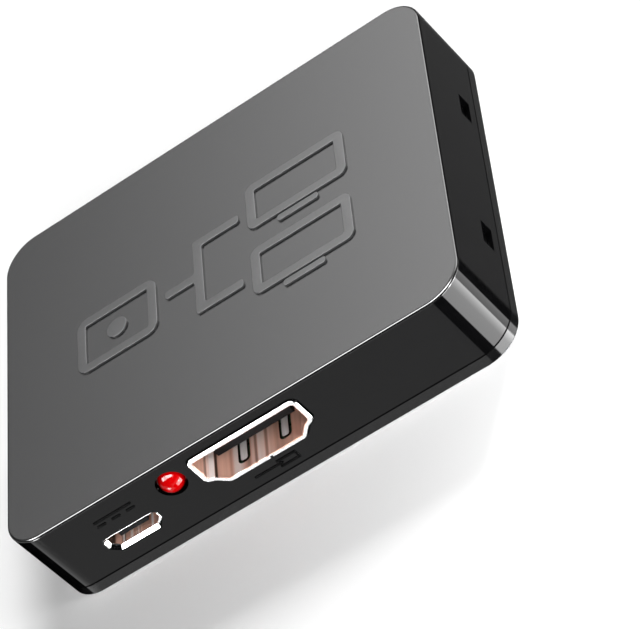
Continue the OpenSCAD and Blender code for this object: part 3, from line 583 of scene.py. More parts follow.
# Finishes of the small parts by their slot in the record, as values for a grained finish and its sockets.
PLAIN_FINISHES = {
    "insulator": (("black_resin", (0.008, 0.008, 0.0085), 0.5, 2600, 0.2, 0.001),
                  {"Specular_IOR_Level": 0.05}),
    "lead": (("tinned_lead", (0.78, 0.78, 0.8), 0.28, 3000, 0.1, 0.001), {"Metallic": 1.0}),
    "chip": (("moulded_epoxy", (0.016, 0.016, 0.018), 0.55, 5000, 0.2, 0.003), {}),
    "can": (("brushed_can", (0.8, 0.8, 0.82), 0.25, 1500, 0.06, 0.001, (1.0, 1.0, 0.1)), {"Metallic": 1.0}),
    "chip_ceramic": (("fired_ceramic", (0.4, 0.27, 0.14), 0.5, 4000, 0.12, 0.002), {}),
}


def plain_finish(slot):
    """The finish of a small part on the board."""
    values, sockets = PLAIN_FINISHES[slot]
    return grained(*values, **sockets)


def colours_of(context):
    """The colours that the user has set."""
    return context.scene.splitter_colours


# Covers

def slab_ring(inset, z, radius):
    """A rounded rectangle at one height, drawn in from the walls of the case."""
    x, y = TOP_HIGH.x, TOP_HIGH.y
    outline = rounded_outline([(x, y), (-x, y), (-x, -y), (x, -y)], [radius] * 4, -inset, CORNER_STEPS)
    return [(px, py, z) for px, py in outline]


def rounding(radius, steps=9):
    """Insets and rises along a quarter round, from flat to upright."""
    for k in range(steps + 1):
        angle = math.pi / 2 * (1 - k / steps)
        yield radius * (1 - math.cos(angle)), radius * math.sin(angle)


LATCH_Y = 11.3
LATCH_W = 3.1
WINDOW_W = 3.6
WINDOW_LOW = 2.95
WINDOW_HIGH = 5.05
WINDOW_IN = 3.0
POST_X = 24.0
POST_Y = 17.5
POST_R = 2.0
PIN_R = 0.9
PIN_GAP = 0.15
PIN_RISE = 0.8
PIN_TIP = 0.2
HOLD_GAP = 0.1
RIB_T = 0.9
RIB_H = 0.8
ROOF_RIB = 10.0
FLOOR_RIB_X = 21.0
FLOOR_RIB_Y = 6.0
LIP_GAP = 0.15
LIP_T = 0.9
RELIEF_W = 0.6
HOOK_LOW = 3.05
HOOK_FACE = 0.5
HOOK_REACH = 0.9
OVERLAP = 0.01
CUT = 1.0
PORT_IN = 3.0
PORT_OUT = 0.3
# Steps of the roof's rounding, from the roof outwards, that keep the wall's finish.
DARK_STEPS = 3
# Places of the finishes on the two covers.
WALL_SLOT, ROOF_SLOT, EDGE_SLOT = 0, 1, 2
HOOK_SLOT = 1
POSTS = [(sx * POST_X, sy * POST_Y) for sx in (-1, 1) for sy in (-1, 1)]
LATCHES = [(sx, sy * LATCH_Y) for sx in (-1, 1) for sy in (-1, 1)]


def window_cutter(side, y):
    """The cut for one latch window."""
    ends = sorted((side * (TOP_HIGH.x - WINDOW_IN), side * (TOP_HIGH.x + CUT)))
    return block((ends[0], y - WINDOW_W / 2, WINDOW_LOW), (ends[1], y + WINDOW_W / 2, WINDOW_HIGH))


def port_cutter(outline, sockets, clearance, place, edge):
    """The cut for a socket in a wall, opened a little at its outer edge."""
    across, facing = place
    rings = []
    for inward, grow in ((PORT_IN, 0), (edge, 0), (-PORT_OUT, edge + PORT_OUT)):
        y = facing * (inward - TOP_HIGH.y)
        rings.append([(across + facing * x, y, z) for x, z in outline(sockets, clearance + grow)])
    return loft("port", rings)


def make_top_cover(context):
    """The top cover: roof, walls, openings, hold-down posts and ribs."""
    case = context.scene.splitter_case
    sockets = context.scene.splitter_sockets
    corner, wall, edge = mm(case, "corner"), mm(case, "wall"), mm(case, "edge")
    roof_round = mm(case, "roof_round")
    top, foot = TOP_HIGH.z, TOP_LOW.z
    roof_z = top - mm(case, "roof")
    rings = [slab_ring(inset, top - roof_round + rise, corner) for inset, rise in rounding(roof_round)]
    fillet = len(rings) - 1
    rings += [slab_ring(0, foot, corner), slab_ring(wall, foot, corner), slab_ring(wall, roof_z, corner)]
    marks = [WALL_SLOT] * DARK_STEPS + [EDGE_SLOT] * (fillet - DARK_STEPS) + [WALL_SLOT] * 3
    cover = loft("top_cover_mesh", rings, marks=marks, cap_marks=(ROOF_SLOT, WALL_SLOT))
    hold_z = BOARD_HIGH.z + HOLD_GAP
    inside = [turned("post", [(POST_R, hold_z), (POST_R, roof_z + OVERLAP)], (x, y, 0), "Z")
              for x, y in POSTS]
    inside += [block((s * POST_X - RIB_T / 2, -ROOF_RIB, roof_z - RIB_H),
                     (s * POST_X + RIB_T / 2, ROOF_RIB, roof_z + OVERLAP)) for s in (-1, 1)]
    combine(cover, inside, "UNION")
    hole = PIN_R + PIN_GAP
    cuts = [turned("pin_hole", [(hole, hold_z - CUT), (hole, BOARD_HIGH.z + PIN_RISE + CUT)], (x, y, 0), "Z")
            for x, y in POSTS]
    cuts += [window_cutter(side, y) for side, y in LATCHES]
    video_grow = mm(sockets, "sheet") + mm(sockets, "flare") + mm(sockets, "port_gap")
    cuts += [port_cutter(video_outline, sockets, video_grow, place, edge) for place in VIDEO_PLACES.values()]
    power_grow = POWER_SHEET + POWER_FLARE + POWER_GAP
    cuts.append(port_cutter(power_outline, sockets, power_grow, POWER_PLACE, edge))
    hole = LENS_RADIUS + LENS_GAP
    front = -TOP_HIGH.y
    cuts.append(turned("light_hole", [(hole, front + PORT_IN), (hole, front - CUT)], LENS_PLACE, "Y"))
    combine(cover, cuts, "DIFFERENCE")
    colours = colours_of(context)
    materials = [gloss_plastic(colours), satin_plastic(colours), edge_plastic(colours)]
    seat(smooth(cover), "top_cover_fine", "black_plastic", materials, "top_cover")


def make_bottom_cover(context):
    """The bottom cover: tray, lip, snap latches, board posts and ribs."""
    case = context.scene.splitter_case
    corner, wall = mm(case, "corner"), mm(case, "wall")
    seam, groove = mm(case, "seam"), mm(case, "groove")
    foot_round, floor = mm(case, "foot_round"), mm(case, "floor")
    top = TOP_LOW.z
    seat_z = BOARD_LOW.z
    outer, inner = wall + LIP_GAP, wall + LIP_GAP + LIP_T
    rings = [slab_ring(inset, foot_round - rise, corner) for inset, rise in rounding(foot_round)]
    rings += [slab_ring(0, top - seam, corner), slab_ring(groove, top - seam, corner)]
    rings += [slab_ring(groove, top, corner), slab_ring(outer, top, corner), slab_ring(outer, seat_z, corner)]
    rings += [slab_ring(inner, seat_z, corner), slab_ring(inner, floor, corner)]
    cover = loft("bottom_cover_mesh", rings)
    lip_x = TOP_HIGH.x - outer
    slots = []
    for side, y in LATCHES:
        for s in (-1, 1):
            mid = y + s * (LATCH_W + RELIEF_W) / 2
            ends = sorted((side * (lip_x - LIP_T - LIP_GAP), side * (lip_x + LIP_GAP)))
            slots.append(block((ends[0], mid - RELIEF_W / 2, top),
                               (ends[1], mid + RELIEF_W / 2, seat_z + CUT)))
    combine(cover, slots, "DIFFERENCE")
    inside = []
    for side, y in LATCHES:
        profile = [(lip_x - LIP_T, floor - OVERLAP), (lip_x, floor - OVERLAP), (lip_x, HOOK_LOW),
                   (lip_x + LIP_GAP + HOOK_REACH, HOOK_LOW),
                   (lip_x + LIP_GAP + HOOK_REACH, HOOK_LOW + HOOK_FACE), (lip_x, HOOK_TOP),
                   (lip_x - LIP_T, HOOK_TOP)]
        inside.append(prism_y([(side * x, z) for x, z in profile], y - LATCH_W / 2, y + LATCH_W / 2))
    for x, y in POSTS:
        pin_top = BOARD_HIGH.z + PIN_RISE
        inside.append(turned("post", [(POST_R, floor - OVERLAP), (POST_R, seat_z), (PIN_R, seat_z),
                                      (PIN_R, pin_top - PIN_TIP), (PIN_R - PIN_TIP, pin_top)],
                             (x, y, 0), "Z"))
    for s in (-1, 1):
        inside.append(block((-FLOOR_RIB_X, s * FLOOR_RIB_Y - RIB_T / 2, floor - OVERLAP),
                            (FLOOR_RIB_X, s * FLOOR_RIB_Y + RIB_T / 2, floor + RIB_H)))
    combine(cover, inside, "UNION")
    cover.data.materials.append(None)
    for face in cover.data.polygons:
        if abs(face.center.x) > lip_x + OVERLAP and face.center.z > top + OVERLAP:
            face.material_index = HOOK_SLOT
    colours = colours_of(context)
    materials = [tray_plastic(colours), mark_plastic(colours)]
    seat(smooth(cover), "bottom_cover_fine", "black_plastic", materials, "bottom_cover")


# Video sockets

MOUTH_Y = -INPUT_LOW.y
VIDEO_PLACES = {
    "input": ((INPUT_LOW.x + INPUT_HIGH.x) / 2, 1),
    "output_1": (sum(c.x for c in node_mm("output_1_shell")) / 2, -1),
    "output_2": (sum(c.x for c in node_mm("output_2_shell")) / 2, -1),
}
VIDEO_FOOT = 10.0
VIDEO_SLOPE = 1.2
VIDEO_LEDGE_W = 0.8
VIDEO_LEDGE_H = 0.3
VIDEO_ROUND = 0.3
VIDEO_HOLLOW = 1.5
VIDEO_LIFT = 1.35
VIDEO_LEN = 11.2
RIM_T = 0.4
FINGER_X = 2.9
FINGER_W = 0.93
FINGER_SLIT = 0.385
FINGER_START = 1.5
FINGER_LEN = 4.6
FINGER_DIP = 0.06
FINGER_ROUND = 0.3
FINGER_ROOT_ROUND = 0.05
FINGER_STEPS = 6
# Places along a finger and shares of its bow: where the bow is highest, then towards the lifted tip.
FINGER_CREST = 0.3
FINGER_NOSE = (0.45, 0.82)
FINGER_TIP = 0.3
LEG_W = 1.3
LEG_PLACES = (4.6, 10.0)
BLOCK_START = 7.4
SEAM_X = 0.5
SEAM_W = 0.36
SEAM_LEN = 1.0
SEAM_TOP = 0.24
TONGUE_LIFT = 1.4
TONGUE_T = 1.8
TONGUE_START = 2.4
CONTACT_START = 0.5
CONTACT_W = 0.36
CONTACT_T = 0.15
FOOT_LEN = 0.9
CONTACT_TIP = 0.12
CONTACT_NOSE = 0.04
# Places of the finishes on a shell.
RIM_SLOT, INSIDE_SLOT, FINGER_FACE_SLOT, SLIT_SHADE_SLOT = 0, 1, 2, 3


def video_outline(sockets, grow):
    """The opening of a video socket above the board, grown outwards."""
    w, h = mm(sockets, "video_width") / 2, mm(sockets, "video_height")
    foot, ledge = VIDEO_FOOT / 2, w - VIDEO_LEDGE_W
    low, high = VIDEO_SLOPE, VIDEO_SLOPE + VIDEO_LEDGE_H
    corners = [(-foot, 0), (foot, 0), (ledge, low), (w, high), (w, h), (-w, h), (-w, high), (-ledge, low)]
    hollow, r = VIDEO_HOLLOW, VIDEO_ROUND
    points = rounded_outline(corners, [r, r, hollow, r, r, r, r, hollow], grow)
    base = BOARD_HIGH.z + VIDEO_LIFT
    return [(x, z + base) for x, z in points]


def turn_to(piece, place):
    """Moves a socket piece drawn at the middle of the front to its own place and wall."""
    across, facing = place
    spin = Matrix.Rotation(0 if facing > 0 else math.pi, 4, "Z")
    piece.data.transform(Matrix.Translation((across, 0, 0)) @ spin)
    return piece


def copy_of(piece):
    """A copy with a mesh of its own."""
    made = piece.copy()
    made.data = piece.data.copy()
    bpy.context.scene.collection.objects.link(made)
    return made


def finger_blank(x, spare, rear, low, high):
    """An upright block with a rounded front, wider than a finger by a spare width on each side."""
    half, front = FINGER_W / 2 + spare, FINGER_START - spare
    tip, root = FINGER_ROUND + spare, FINGER_ROOT_ROUND
    corners = [(x - half, front), (x + half, front), (x + half, rear), (x - half, rear)]
    outline = rounded_outline(corners, [tip, tip, root, root])
    return loft("blank", [[(px, py - MOUTH_Y, z) for px, py in outline] for z in (low, high)])


def shell_finger(x, z, dip, thick):
    """A spring finger bowed into the opening, with a lifted, rounded tip."""
    tip, root = FINGER_START, FINGER_START + FINGER_LEN + OVERLAP
    crest = tip + FINGER_LEN * FINGER_CREST
    bow = []
    for k in range(FINGER_STEPS + 1):
        t = k / FINGER_STEPS
        bow.append((root + (crest - root) * t, z + dip * (3 * t * t - 2 * t ** 3)))
    along, share = FINGER_NOSE
    bow += [(tip + (crest - tip) * along, z + dip * share), (tip, z + dip * FINGER_TIP)]
    profile = bow + [(y, height + thick) for y, height in reversed(bow)]
    half = FINGER_W / 2 + OVERLAP
    finger = prism_x([(y - MOUTH_Y, height) for y, height in profile], x - half, x + half)
    combine(finger, [finger_blank(x, 0, root + CUT, z - CUT, z + CUT)], "INTERSECT")
    # The finger's ends and sides take painted shade, dark like the slits round it.
    for face in finger.data.polygons:
        face.material_index = FINGER_FACE_SLOT if abs(face.normal.z) > 0.5 else SLIT_SHADE_SLOT
    return finger


def video_shell(context):
    """One drawn shell at the middle of the front, with a rolled rim, fingers, seam and legs."""
    sockets = context.scene.splitter_sockets
    sheet, flare = mm(sockets, "sheet"), mm(sockets, "flare")
    rim = sheet + flare
    lip = [(0.0, VIDEO_LEN), (0.0, 0.14), (0.02, 0.06), (0.07, 0.01), (0.12, 0.0),
           (rim - 0.12, 0.0), (rim - 0.06, 0.02), (rim - 0.02, 0.06), (rim, 0.12), (rim, RIM_T),
           (sheet + 0.05, RIM_T), (sheet, RIM_T + 0.08), (sheet, VIDEO_LEN)]
    marks = [INSIDE_SLOT] * 4 + [RIM_SLOT] * (len(lip) - 4)
    rings = [[(x, y - MOUTH_Y, z) for x, z in video_outline(sockets, grow)] for grow, y in lip]
    shell = loft("video_shell", rings, loop=True, marks=marks)
    for _ in range(2):
        shell.data.materials.append(None)
    low = BOARD_HIGH.z + VIDEO_LIFT
    high = low + mm(sockets, "video_height")
    cuts = []
    for s in (-1, 1):
        slit = finger_blank(s * FINGER_X, FINGER_SLIT, FINGER_START + FINGER_LEN, low - CUT, high + CUT)
        # The sides of the slits take painted shade.
        slit.data.polygons.foreach_set("material_index", [SLIT_SHADE_SLOT] * len(slit.data.polygons))
        cuts.append(slit)
    back = mm(sockets, "video_width") / 2 - VIDEO_LEDGE_W
    cuts.append(block((-back, BLOCK_START - MOUTH_Y, low - CUT),
                      (back, VIDEO_LEN + CUT - MOUTH_Y, low + VIDEO_SLOPE)))
    cuts.append(block((SEAM_X - SEAM_W / 2, -CUT - MOUTH_Y, low - CUT),
                      (SEAM_X + SEAM_W / 2, SEAM_LEN - MOUTH_Y, low - SEAM_TOP)))
    combine(shell, cuts, "DIFFERENCE")
    added = []
    for s in (-1, 1):
        added.append(shell_finger(s * FINGER_X, low, FINGER_DIP, -sheet))
        added.append(shell_finger(s * FINGER_X, high, -FINGER_DIP, sheet))
        for y in LEG_PLACES:
            mid = s * (mm(sockets, "video_width") / 2 + sheet / 2)
            added.append(block((mid - sheet / 2, y - LEG_W / 2 - MOUTH_Y, INPUT_LOW.z),
                               (mid + sheet / 2, y + LEG_W / 2 - MOUTH_Y, (low + high) / 2)))
    combine(shell, added, "UNION")
    return mark_painted_streaks(smooth(shell, SHEET_CREASE), low, 1.0)


def make_video_shells(context):
    """The three video socket shells."""
    colours = colours_of(context)
    materials = [nickel_plate(colours), rose_metal(colours), spring_metal(colours), slit_shade(colours)]
    pattern = video_shell(context)
    for name, place in VIDEO_PLACES.items():
        shell = turn_to(copy_of(pattern), place)
        seat(shell, name + "_shell_fine", "socket_metal", materials, name + "_shell")
    bpy.data.objects.remove(pattern)


# Nodes of a row of contacts by a short name, and the wires from node and socket to node and socket.
ROW_NODES = (
    ("in", "NodeGroupInput"), ("line", "GeometryNodeMeshLine"), ("step", "ShaderNodeCombineXYZ"),
    ("from", "ShaderNodeCombineXYZ"), ("less", "ShaderNodeMath"), ("width", "ShaderNodeMath"),
    ("half", "ShaderNodeMath"), ("piece", "GeometryNodeObjectInfo"), ("put", "GeometryNodeInstanceOnPoints"),
    ("real", "GeometryNodeRealizeInstances"), ("dress", "GeometryNodeSetMaterial"),
    ("out", "NodeGroupOutput"),
)
ROW_WIRES = (
    ("in", "Count", "line", "Count"), ("in", "Count", "less", 1), ("less", 0, "width", 0),
    ("in", "Pitch", "width", 1), ("width", 0, "half", 0), ("half", 0, "from", "X"),
    ("from", 0, "line", "Start Location"), ("in", "Pitch", "step", "X"), ("step", 0, "line", "Offset"),
    ("in", "Contact", "piece", "Object"), ("line", "Mesh", "put", "Points"),
    ("piece", "Geometry", "put", "Instance"), ("put", 0, "real", 0), ("real", 0, "dress", "Geometry"),
    ("in", "Finish", "dress", "Material"), ("dress", 0, "out", 0),
)


def contact_tree():
    """Geometry nodes that set one contact out in a row and give it its finish."""
    tree = bpy.data.node_groups.new("contact_row", "GeometryNodeTree")
    for name, kind in (("Contact", "Object"), ("Count", "Int"), ("Pitch", "Float"), ("Finish", "Material")):
        tree.interface.new_socket(name, in_out="INPUT", socket_type="NodeSocket" + kind)
    tree.interface.new_socket("Geometry", in_out="OUTPUT", socket_type="NodeSocketGeometry")
    made = {key: tree.nodes.new(kind) for key, kind in ROW_NODES}
    made["line"].mode = "OFFSET"
    made["less"].operation = "SUBTRACT"
    made["less"].inputs[0].default_value = 1.0
    made["width"].operation = "MULTIPLY"
    made["half"].operation = "MULTIPLY"
    made["half"].inputs[1].default_value = 0.5
    for a, a_socket, b, b_socket in ROW_WIRES:
        tree.links.new(made[a].outputs[a_socket], made[b].inputs[b_socket])
    return tree


def contact_row(tree, contact, count, pitch, metal):
    """A baked row of contacts."""
    contact.data.materials[0] = metal
    row = placed("row", bpy.data.meshes.new("row"))
    step = row.modifiers.new("row", "NODES")
    step.node_group = tree
    values = {"Contact": contact, "Count": count, "Pitch": pitch, "Finish": metal}
    for socket in tree.interface.items_tree:
        if socket.in_out == "INPUT":
            step[socket.identifier] = values[socket.name]
    bake(row)
    bpy.data.objects.remove(contact)
    return row


def bent_contact(width, tip, z, rear, wall_y):
    """A contact at the middle of a socket: along the tongue, down behind the block, then a foot."""
    base = BOARD_HIGH.z
    t, nose, full = CONTACT_T, CONTACT_NOSE, tip + CONTACT_TIP
    profile = [(tip, z + nose), (tip, z + t - nose), (full, z + t), (rear + t, z + t), (rear + t, base + t),
               (rear + FOOT_LEN, base + t), (rear + FOOT_LEN, base), (rear, base), (rear, z), (full, z)]
    return prism_x([(y - wall_y, height) for y, height in profile], -width / 2, width / 2)


def make_contacts(context):
    """The contacts of the video and power sockets, set out in rows."""
    sockets = context.scene.splitter_sockets
    gold = gold_plate(colours_of(context))
    tree = contact_tree()
    pitch = mm(sockets, "contact_pitch")
    base = BOARD_HIGH.z + VIDEO_LIFT + TONGUE_LIFT
    rear = VIDEO_LEN + CONTACT_T / 2
    tip = TONGUE_START + CONTACT_START
    for name, place in VIDEO_PLACES.items():
        upper = bent_contact(CONTACT_W, tip, base + TONGUE_T - CONTACT_T, rear, MOUTH_Y)
        lower = bent_contact(CONTACT_W, tip, base, rear, MOUTH_Y)
        rows = join([contact_row(tree, upper, sockets.upper_contacts, pitch, gold),
                     contact_row(tree, lower, sockets.lower_contacts, pitch, gold)])
        seat(turn_to(rows, place), name + "_contacts_fine", "contact", [gold], name + "_contacts")
    tip = POWER_TONGUE_START + POWER_CONTACT_START
    power = bent_contact(POWER_CONTACT_W, tip, BOARD_HIGH.z + POWER_TONGUE_Z, POWER_LEN + CONTACT_T / 2,
                         TOP_HIGH.y)
    row = contact_row(tree, power, POWER_CONTACTS, POWER_PITCH, gold)
    seat(turn_to(row, POWER_PLACE), "power_contacts_fine", "contact", [gold], "power_contacts")


# Power socket and light

POWER_PLACE = ((POWER_LOW.x + POWER_HIGH.x) / 2, 1)
POWER_LIFT = 0.35
POWER_FOOT = 5.2
POWER_SLOPE = 0.85
POWER_ROUND = 0.22
POWER_SHEET = 0.25
POWER_FLARE = 0.12
POWER_GAP = 0.03
POWER_LEN = 5.4
POWER_NOTCH = 0.5
NOTCH_IN = 0.02
NOTCH_OUT = 0.5
POWER_STREAK = 0.3
POWER_LEG_Y = 3.4
POWER_LEG_W = 1.0
POWER_LEG_RISE = 0.6
POWER_PITCH = 0.65
POWER_CONTACTS = 5
POWER_CONTACT_W = 0.3
POWER_TONGUE_START = 0.9
POWER_CONTACT_START = CONTACT_START + 0.02
POWER_TONGUE_Z = 1.15
LENS_COLLAR = 0.2
LENS_RADIUS = (LENS_HIGH.x - LENS_LOW.x) / 2 - LENS_COLLAR
LENS_GAP = 0.15
LENS_DOME = LENS_RADIUS - 0.15
LENS_INSET = 0.2
# Centre of the lens's glow and painted shade, off its axis in shares of its radius; then the shares of the
# radius over which the glow fades and the painted shade darkens it towards the rim, and the glow's strength.
LENS_DIE = (0.2, 0.24)
LENS_SHADE_FADE = (0.6, 1.0)
LENS_GLOW = 0.24
LENS_COLLAR_T = 0.9
LENS_EDGE = 0.08
LENS_POLE = 0.03
LENS_RINGS = 16
LENS_STEPS = 64
LENS_PLACE = ((LENS_LOW.x + LENS_HIGH.x) / 2, 0, (LENS_LOW.z + LENS_HIGH.z) / 2)


def power_outline(sockets, grow):
    """The opening of the power socket above the board, grown outwards."""
    w, h = mm(sockets, "power_width") / 2, mm(sockets, "power_height")
    foot = POWER_FOOT / 2
    corners = [(-foot, 0), (foot, 0), (w, POWER_SLOPE), (w, h), (-w, h), (-w, POWER_SLOPE)]
    base = BOARD_HIGH.z + POWER_LIFT
    return [(x, z + base) for x, z in rounded_outline(corners, [POWER_ROUND] * 6, grow)]


def make_power_shell(context):
    """The small power socket shell with its flared mouth and two legs."""
    sockets = context.scene.splitter_sockets
    wall_y = TOP_HIGH.y
    rim = POWER_SHEET + POWER_FLARE
    lip = [(0.0, POWER_LEN), (0.0, 0.56), (0.02, 0.5), (rim - 0.04, 0.08), (rim - 0.02, 0.06),
           (rim, 0.08), (rim, 0.16), (rim - 0.09, 0.5), (POWER_SHEET, 0.6), (POWER_SHEET, POWER_LEN)]
    marks = [INSIDE_SLOT] + [RIM_SLOT] * (len(lip) - 1)
    rings = [[(x, y - wall_y, z) for x, z in power_outline(sockets, grow)] for grow, y in lip]
    shell = loft("power_shell_mesh", rings, loop=True, marks=marks)
    base = BOARD_HIGH.z + POWER_LIFT
    half = mm(sockets, "power_width") / 2
    for face in shell.data.polygons:
        if face.center.z > base + mm(sockets, "power_height") and face.normal.z < 0:
            face.material_index = INSIDE_SLOT
    notches = []
    slope = [(POWER_FOOT / 2, base), (half, base + POWER_SLOPE)]
    wedge = [(x - NOTCH_IN, z + NOTCH_IN) for x, z in slope]
    wedge += [(x + NOTCH_OUT, z - NOTCH_OUT) for x, z in reversed(slope)]
    for s in (-1, 1):
        notches.append(prism_y([(s * x, z) for x, z in wedge], -CUT - wall_y, POWER_NOTCH - wall_y))
    combine(shell, notches, "DIFFERENCE")
    legs = []
    leg_top = base + POWER_SLOPE + POWER_LEG_RISE
    for s in (-1, 1):
        mid = s * (half + POWER_SHEET / 2)
        legs.append(block((mid - POWER_SHEET / 2, POWER_LEG_Y - POWER_LEG_W / 2 - wall_y, POWER_LOW.z),
                          (mid + POWER_SHEET / 2, POWER_LEG_Y + POWER_LEG_W / 2 - wall_y, leg_top)))
    combine(shell, legs, "UNION")
    colours = colours_of(context)
    materials = [nickel_plate(colours), rose_metal(colours)]
    shell = mark_painted_streaks(smooth(shell, SHEET_CREASE), base, POWER_STREAK)
    seat(turn_to(shell, POWER_PLACE), "power_shell_fine", "socket_metal", materials, "power_shell")


def make_light_lens(context):
    """The domed red lens with its collar."""
    tip, back = LENS_LOW.y + LENS_INSET, LENS_HIGH.y
    root = tip + LENS_DOME
    collar = LENS_RADIUS + LENS_COLLAR
    front = back - LENS_COLLAR_T
    profile = [(collar - LENS_EDGE, back), (collar, back - LENS_EDGE), (collar, front + LENS_EDGE),
               (collar - LENS_EDGE, front), (LENS_RADIUS, front), (LENS_RADIUS, root)]
    for k in range(LENS_RINGS):
        angle = math.pi / 2 * k / LENS_RINGS
        profile.append((LENS_DOME * math.cos(angle), root - LENS_DOME * math.sin(angle)))
    profile.append((LENS_POLE, tip))
    lens = turned("light_lens_mesh", profile, LENS_PLACE, "Y", LENS_STEPS)
    seat(smooth(lens), "light_lens_fine", "lens", [red_lens(colours_of(context))], "light_lens")


# Raised marks

MERGE = 1e-4
ROOF_STROKE = 1.35
ROOF_SUNK = 0.1
ROOF_MARK_ROUND = 0.06
SCREEN_Y = 5.6
WALL_STROKE = 0.26
WALL_SUNK = 0.05
ARROW_HALF = 0.45
BRACKET_HALF = 0.62
DASH_HALF = 0.62
DASHES = (-2.08, 0, 2.08)
DIGIT_X = 4.2


def flat_shape(name, loops, thick, rounded):
    """A flat shape from closed outlines, drawn out and rounded at its edges, as a mesh."""
    curve = bpy.data.curves.new(name, "CURVE")
    curve.dimensions = "2D"
    curve.fill_mode = "BOTH"
    curve.extrude = thick / 2 - rounded
    curve.bevel_depth = rounded
    curve.bevel_resolution = 2
    curve.offset = -rounded
    for loop in loops:
        spline = curve.splines.new("POLY")
        spline.points.add(len(loop) - 1)
        for point, (x, y) in zip(spline.points, loop):
            point.co = (x, y, 0, 1)
        spline.use_cyclic_u = True
    drawn = placed(name, curve)
    graph = bpy.context.evaluated_depsgraph_get()
    mesh = bpy.data.meshes.new_from_object(drawn.evaluated_get(graph))
    bpy.data.objects.remove(drawn)
    bpy.data.curves.remove(curve)
    turn_outwards(mesh, MERGE)
    return placed(name, mesh)


def box_loop(x0, y0, x1, y1, radius):
    """A rounded rectangle as a closed outline."""
    return rounded_outline([(x1, y1), (x0, y1), (x0, y0), (x1, y0)], [radius] * 4)


def disc_loop(x, y, radius, steps=40):
    """A circle as a closed outline."""
    return [(x + radius * math.cos(2 * math.pi * k / steps), y + radius * math.sin(2 * math.pi * k / steps))
            for k in range(steps)]


def frame_loops(x0, y0, x1, y1, radius, stroke):
    """The two outlines of a rounded frame."""
    return [box_loop(x0, y0, x1, y1, radius),
            box_loop(x0 + stroke, y0 + stroke, x1 - stroke, y1 - stroke, max(0.2, radius - stroke))]


def branch_loop(x0, x1, x2, rise, stroke, radius):
    """One line that runs in and splits into two, as one outline."""
    h = stroke / 2
    corners = [(x0, -h), (x1 - h, -h), (x1 - h, -rise - h), (x2, -rise - h), (x2, -rise + h),
               (x1 + h, -rise + h), (x1 + h, rise - h), (x2, rise - h), (x2, rise + h), (x1 - h, rise + h),
               (x1 - h, h), (x0, h)]
    return rounded_outline(corners, [radius] * len(corners), 0, 4)


def roof_mark_loops():
    """A player box, a line that splits, and two screens on their stands."""
    shapes = [frame_loops(-20.5, -4.6, -8.5, 4.6, 1.6, ROOF_STROKE), [disc_loop(-14.5, 0, 1.5)],
              [branch_loop(-7.2, -2.2, 4.0, SCREEN_Y, ROOF_STROKE, 0.4)]]
    for y in (-SCREEN_Y, SCREEN_Y):
        shapes.append(frame_loops(5.2, y - 3.4, 19.5, y + 4.4, 1.2, ROOF_STROKE))
        shapes.append([box_loop(9.4, y - 4.75, 15.3, y - 3.75, 0.4)])
    return shapes


def arrow_loop(x0, x1):
    """An arrow that points along X."""
    neck = x1 - ARROW_HALF * 1.2
    h = WALL_STROKE / 2
    return [(x0, -h), (neck, -h), (neck, -ARROW_HALF), (x1, 0), (neck, ARROW_HALF), (neck, h), (x0, h)]


def bracket_loop(x0, x1):
    """A bracket whose back is at x1 and whose arms reach back to x0."""
    half, stroke = BRACKET_HALF, WALL_STROKE
    back = x1 - stroke if x1 > x0 else x1 + stroke
    loop = [(x0, -half), (x1, -half), (x1, half), (x0, half), (x0, half - stroke), (back, half - stroke),
            (back, stroke - half), (x0, stroke - half)]
    return loop if x1 > x0 else loop[::-1]


def inlet_loops():
    """An arrow that goes into a bracket."""
    return [[arrow_loop(-3.1, 0.9)], [bracket_loop(0.2, 2.9)]]


def outlet_loops():
    """An arrow that comes out of a bracket."""
    return [[arrow_loop(-1.6, 2.4)], [bracket_loop(-0.7, -2.9)]]


def direct_current_loops():
    """A long bar over three short ones."""
    bars = [[box_loop(-2.7, 0.22, 2.7, 0.52, 0.1)]]
    return bars + [[box_loop(x - DASH_HALF, -0.52, x + DASH_HALF, -0.22, 0.1)] for x in DASHES]


DIGITS = {
    "1": [(0.1, -0.75), (0.4, -0.75), (0.4, 0.75), (0.12, 0.75), (-0.28, 0.42), (-0.12, 0.22), (0.1, 0.4)],
    "2": [(-0.5, -0.75), (0.5, -0.75), (0.5, -0.47), (-0.2, -0.47), (-0.2, -0.14), (0.5, -0.14), (0.5, 0.75),
          (-0.5, 0.75), (-0.5, 0.47), (0.2, 0.47), (0.2, 0.14), (-0.5, 0.14)],
}
WALL_MARK_Z = 3.05
POWER_MARK_Z = 8.83
WALL_RELIEF = 0.12
MARK_ROUND = 0.04


def wall_mark(shapes, place, z):
    """Flat shapes stood up on the front or back wall."""
    thick = WALL_RELIEF + WALL_SUNK
    mark = join([flat_shape("mark", loops, thick, MARK_ROUND) for loops in shapes])
    upright = Matrix.Rotation(math.pi / 2, 4, "X")
    stand = Matrix.Translation((0, WALL_SUNK - thick / 2 - TOP_HIGH.y, z))
    mark.data.transform(stand @ upright)
    return turn_to(mark, place)


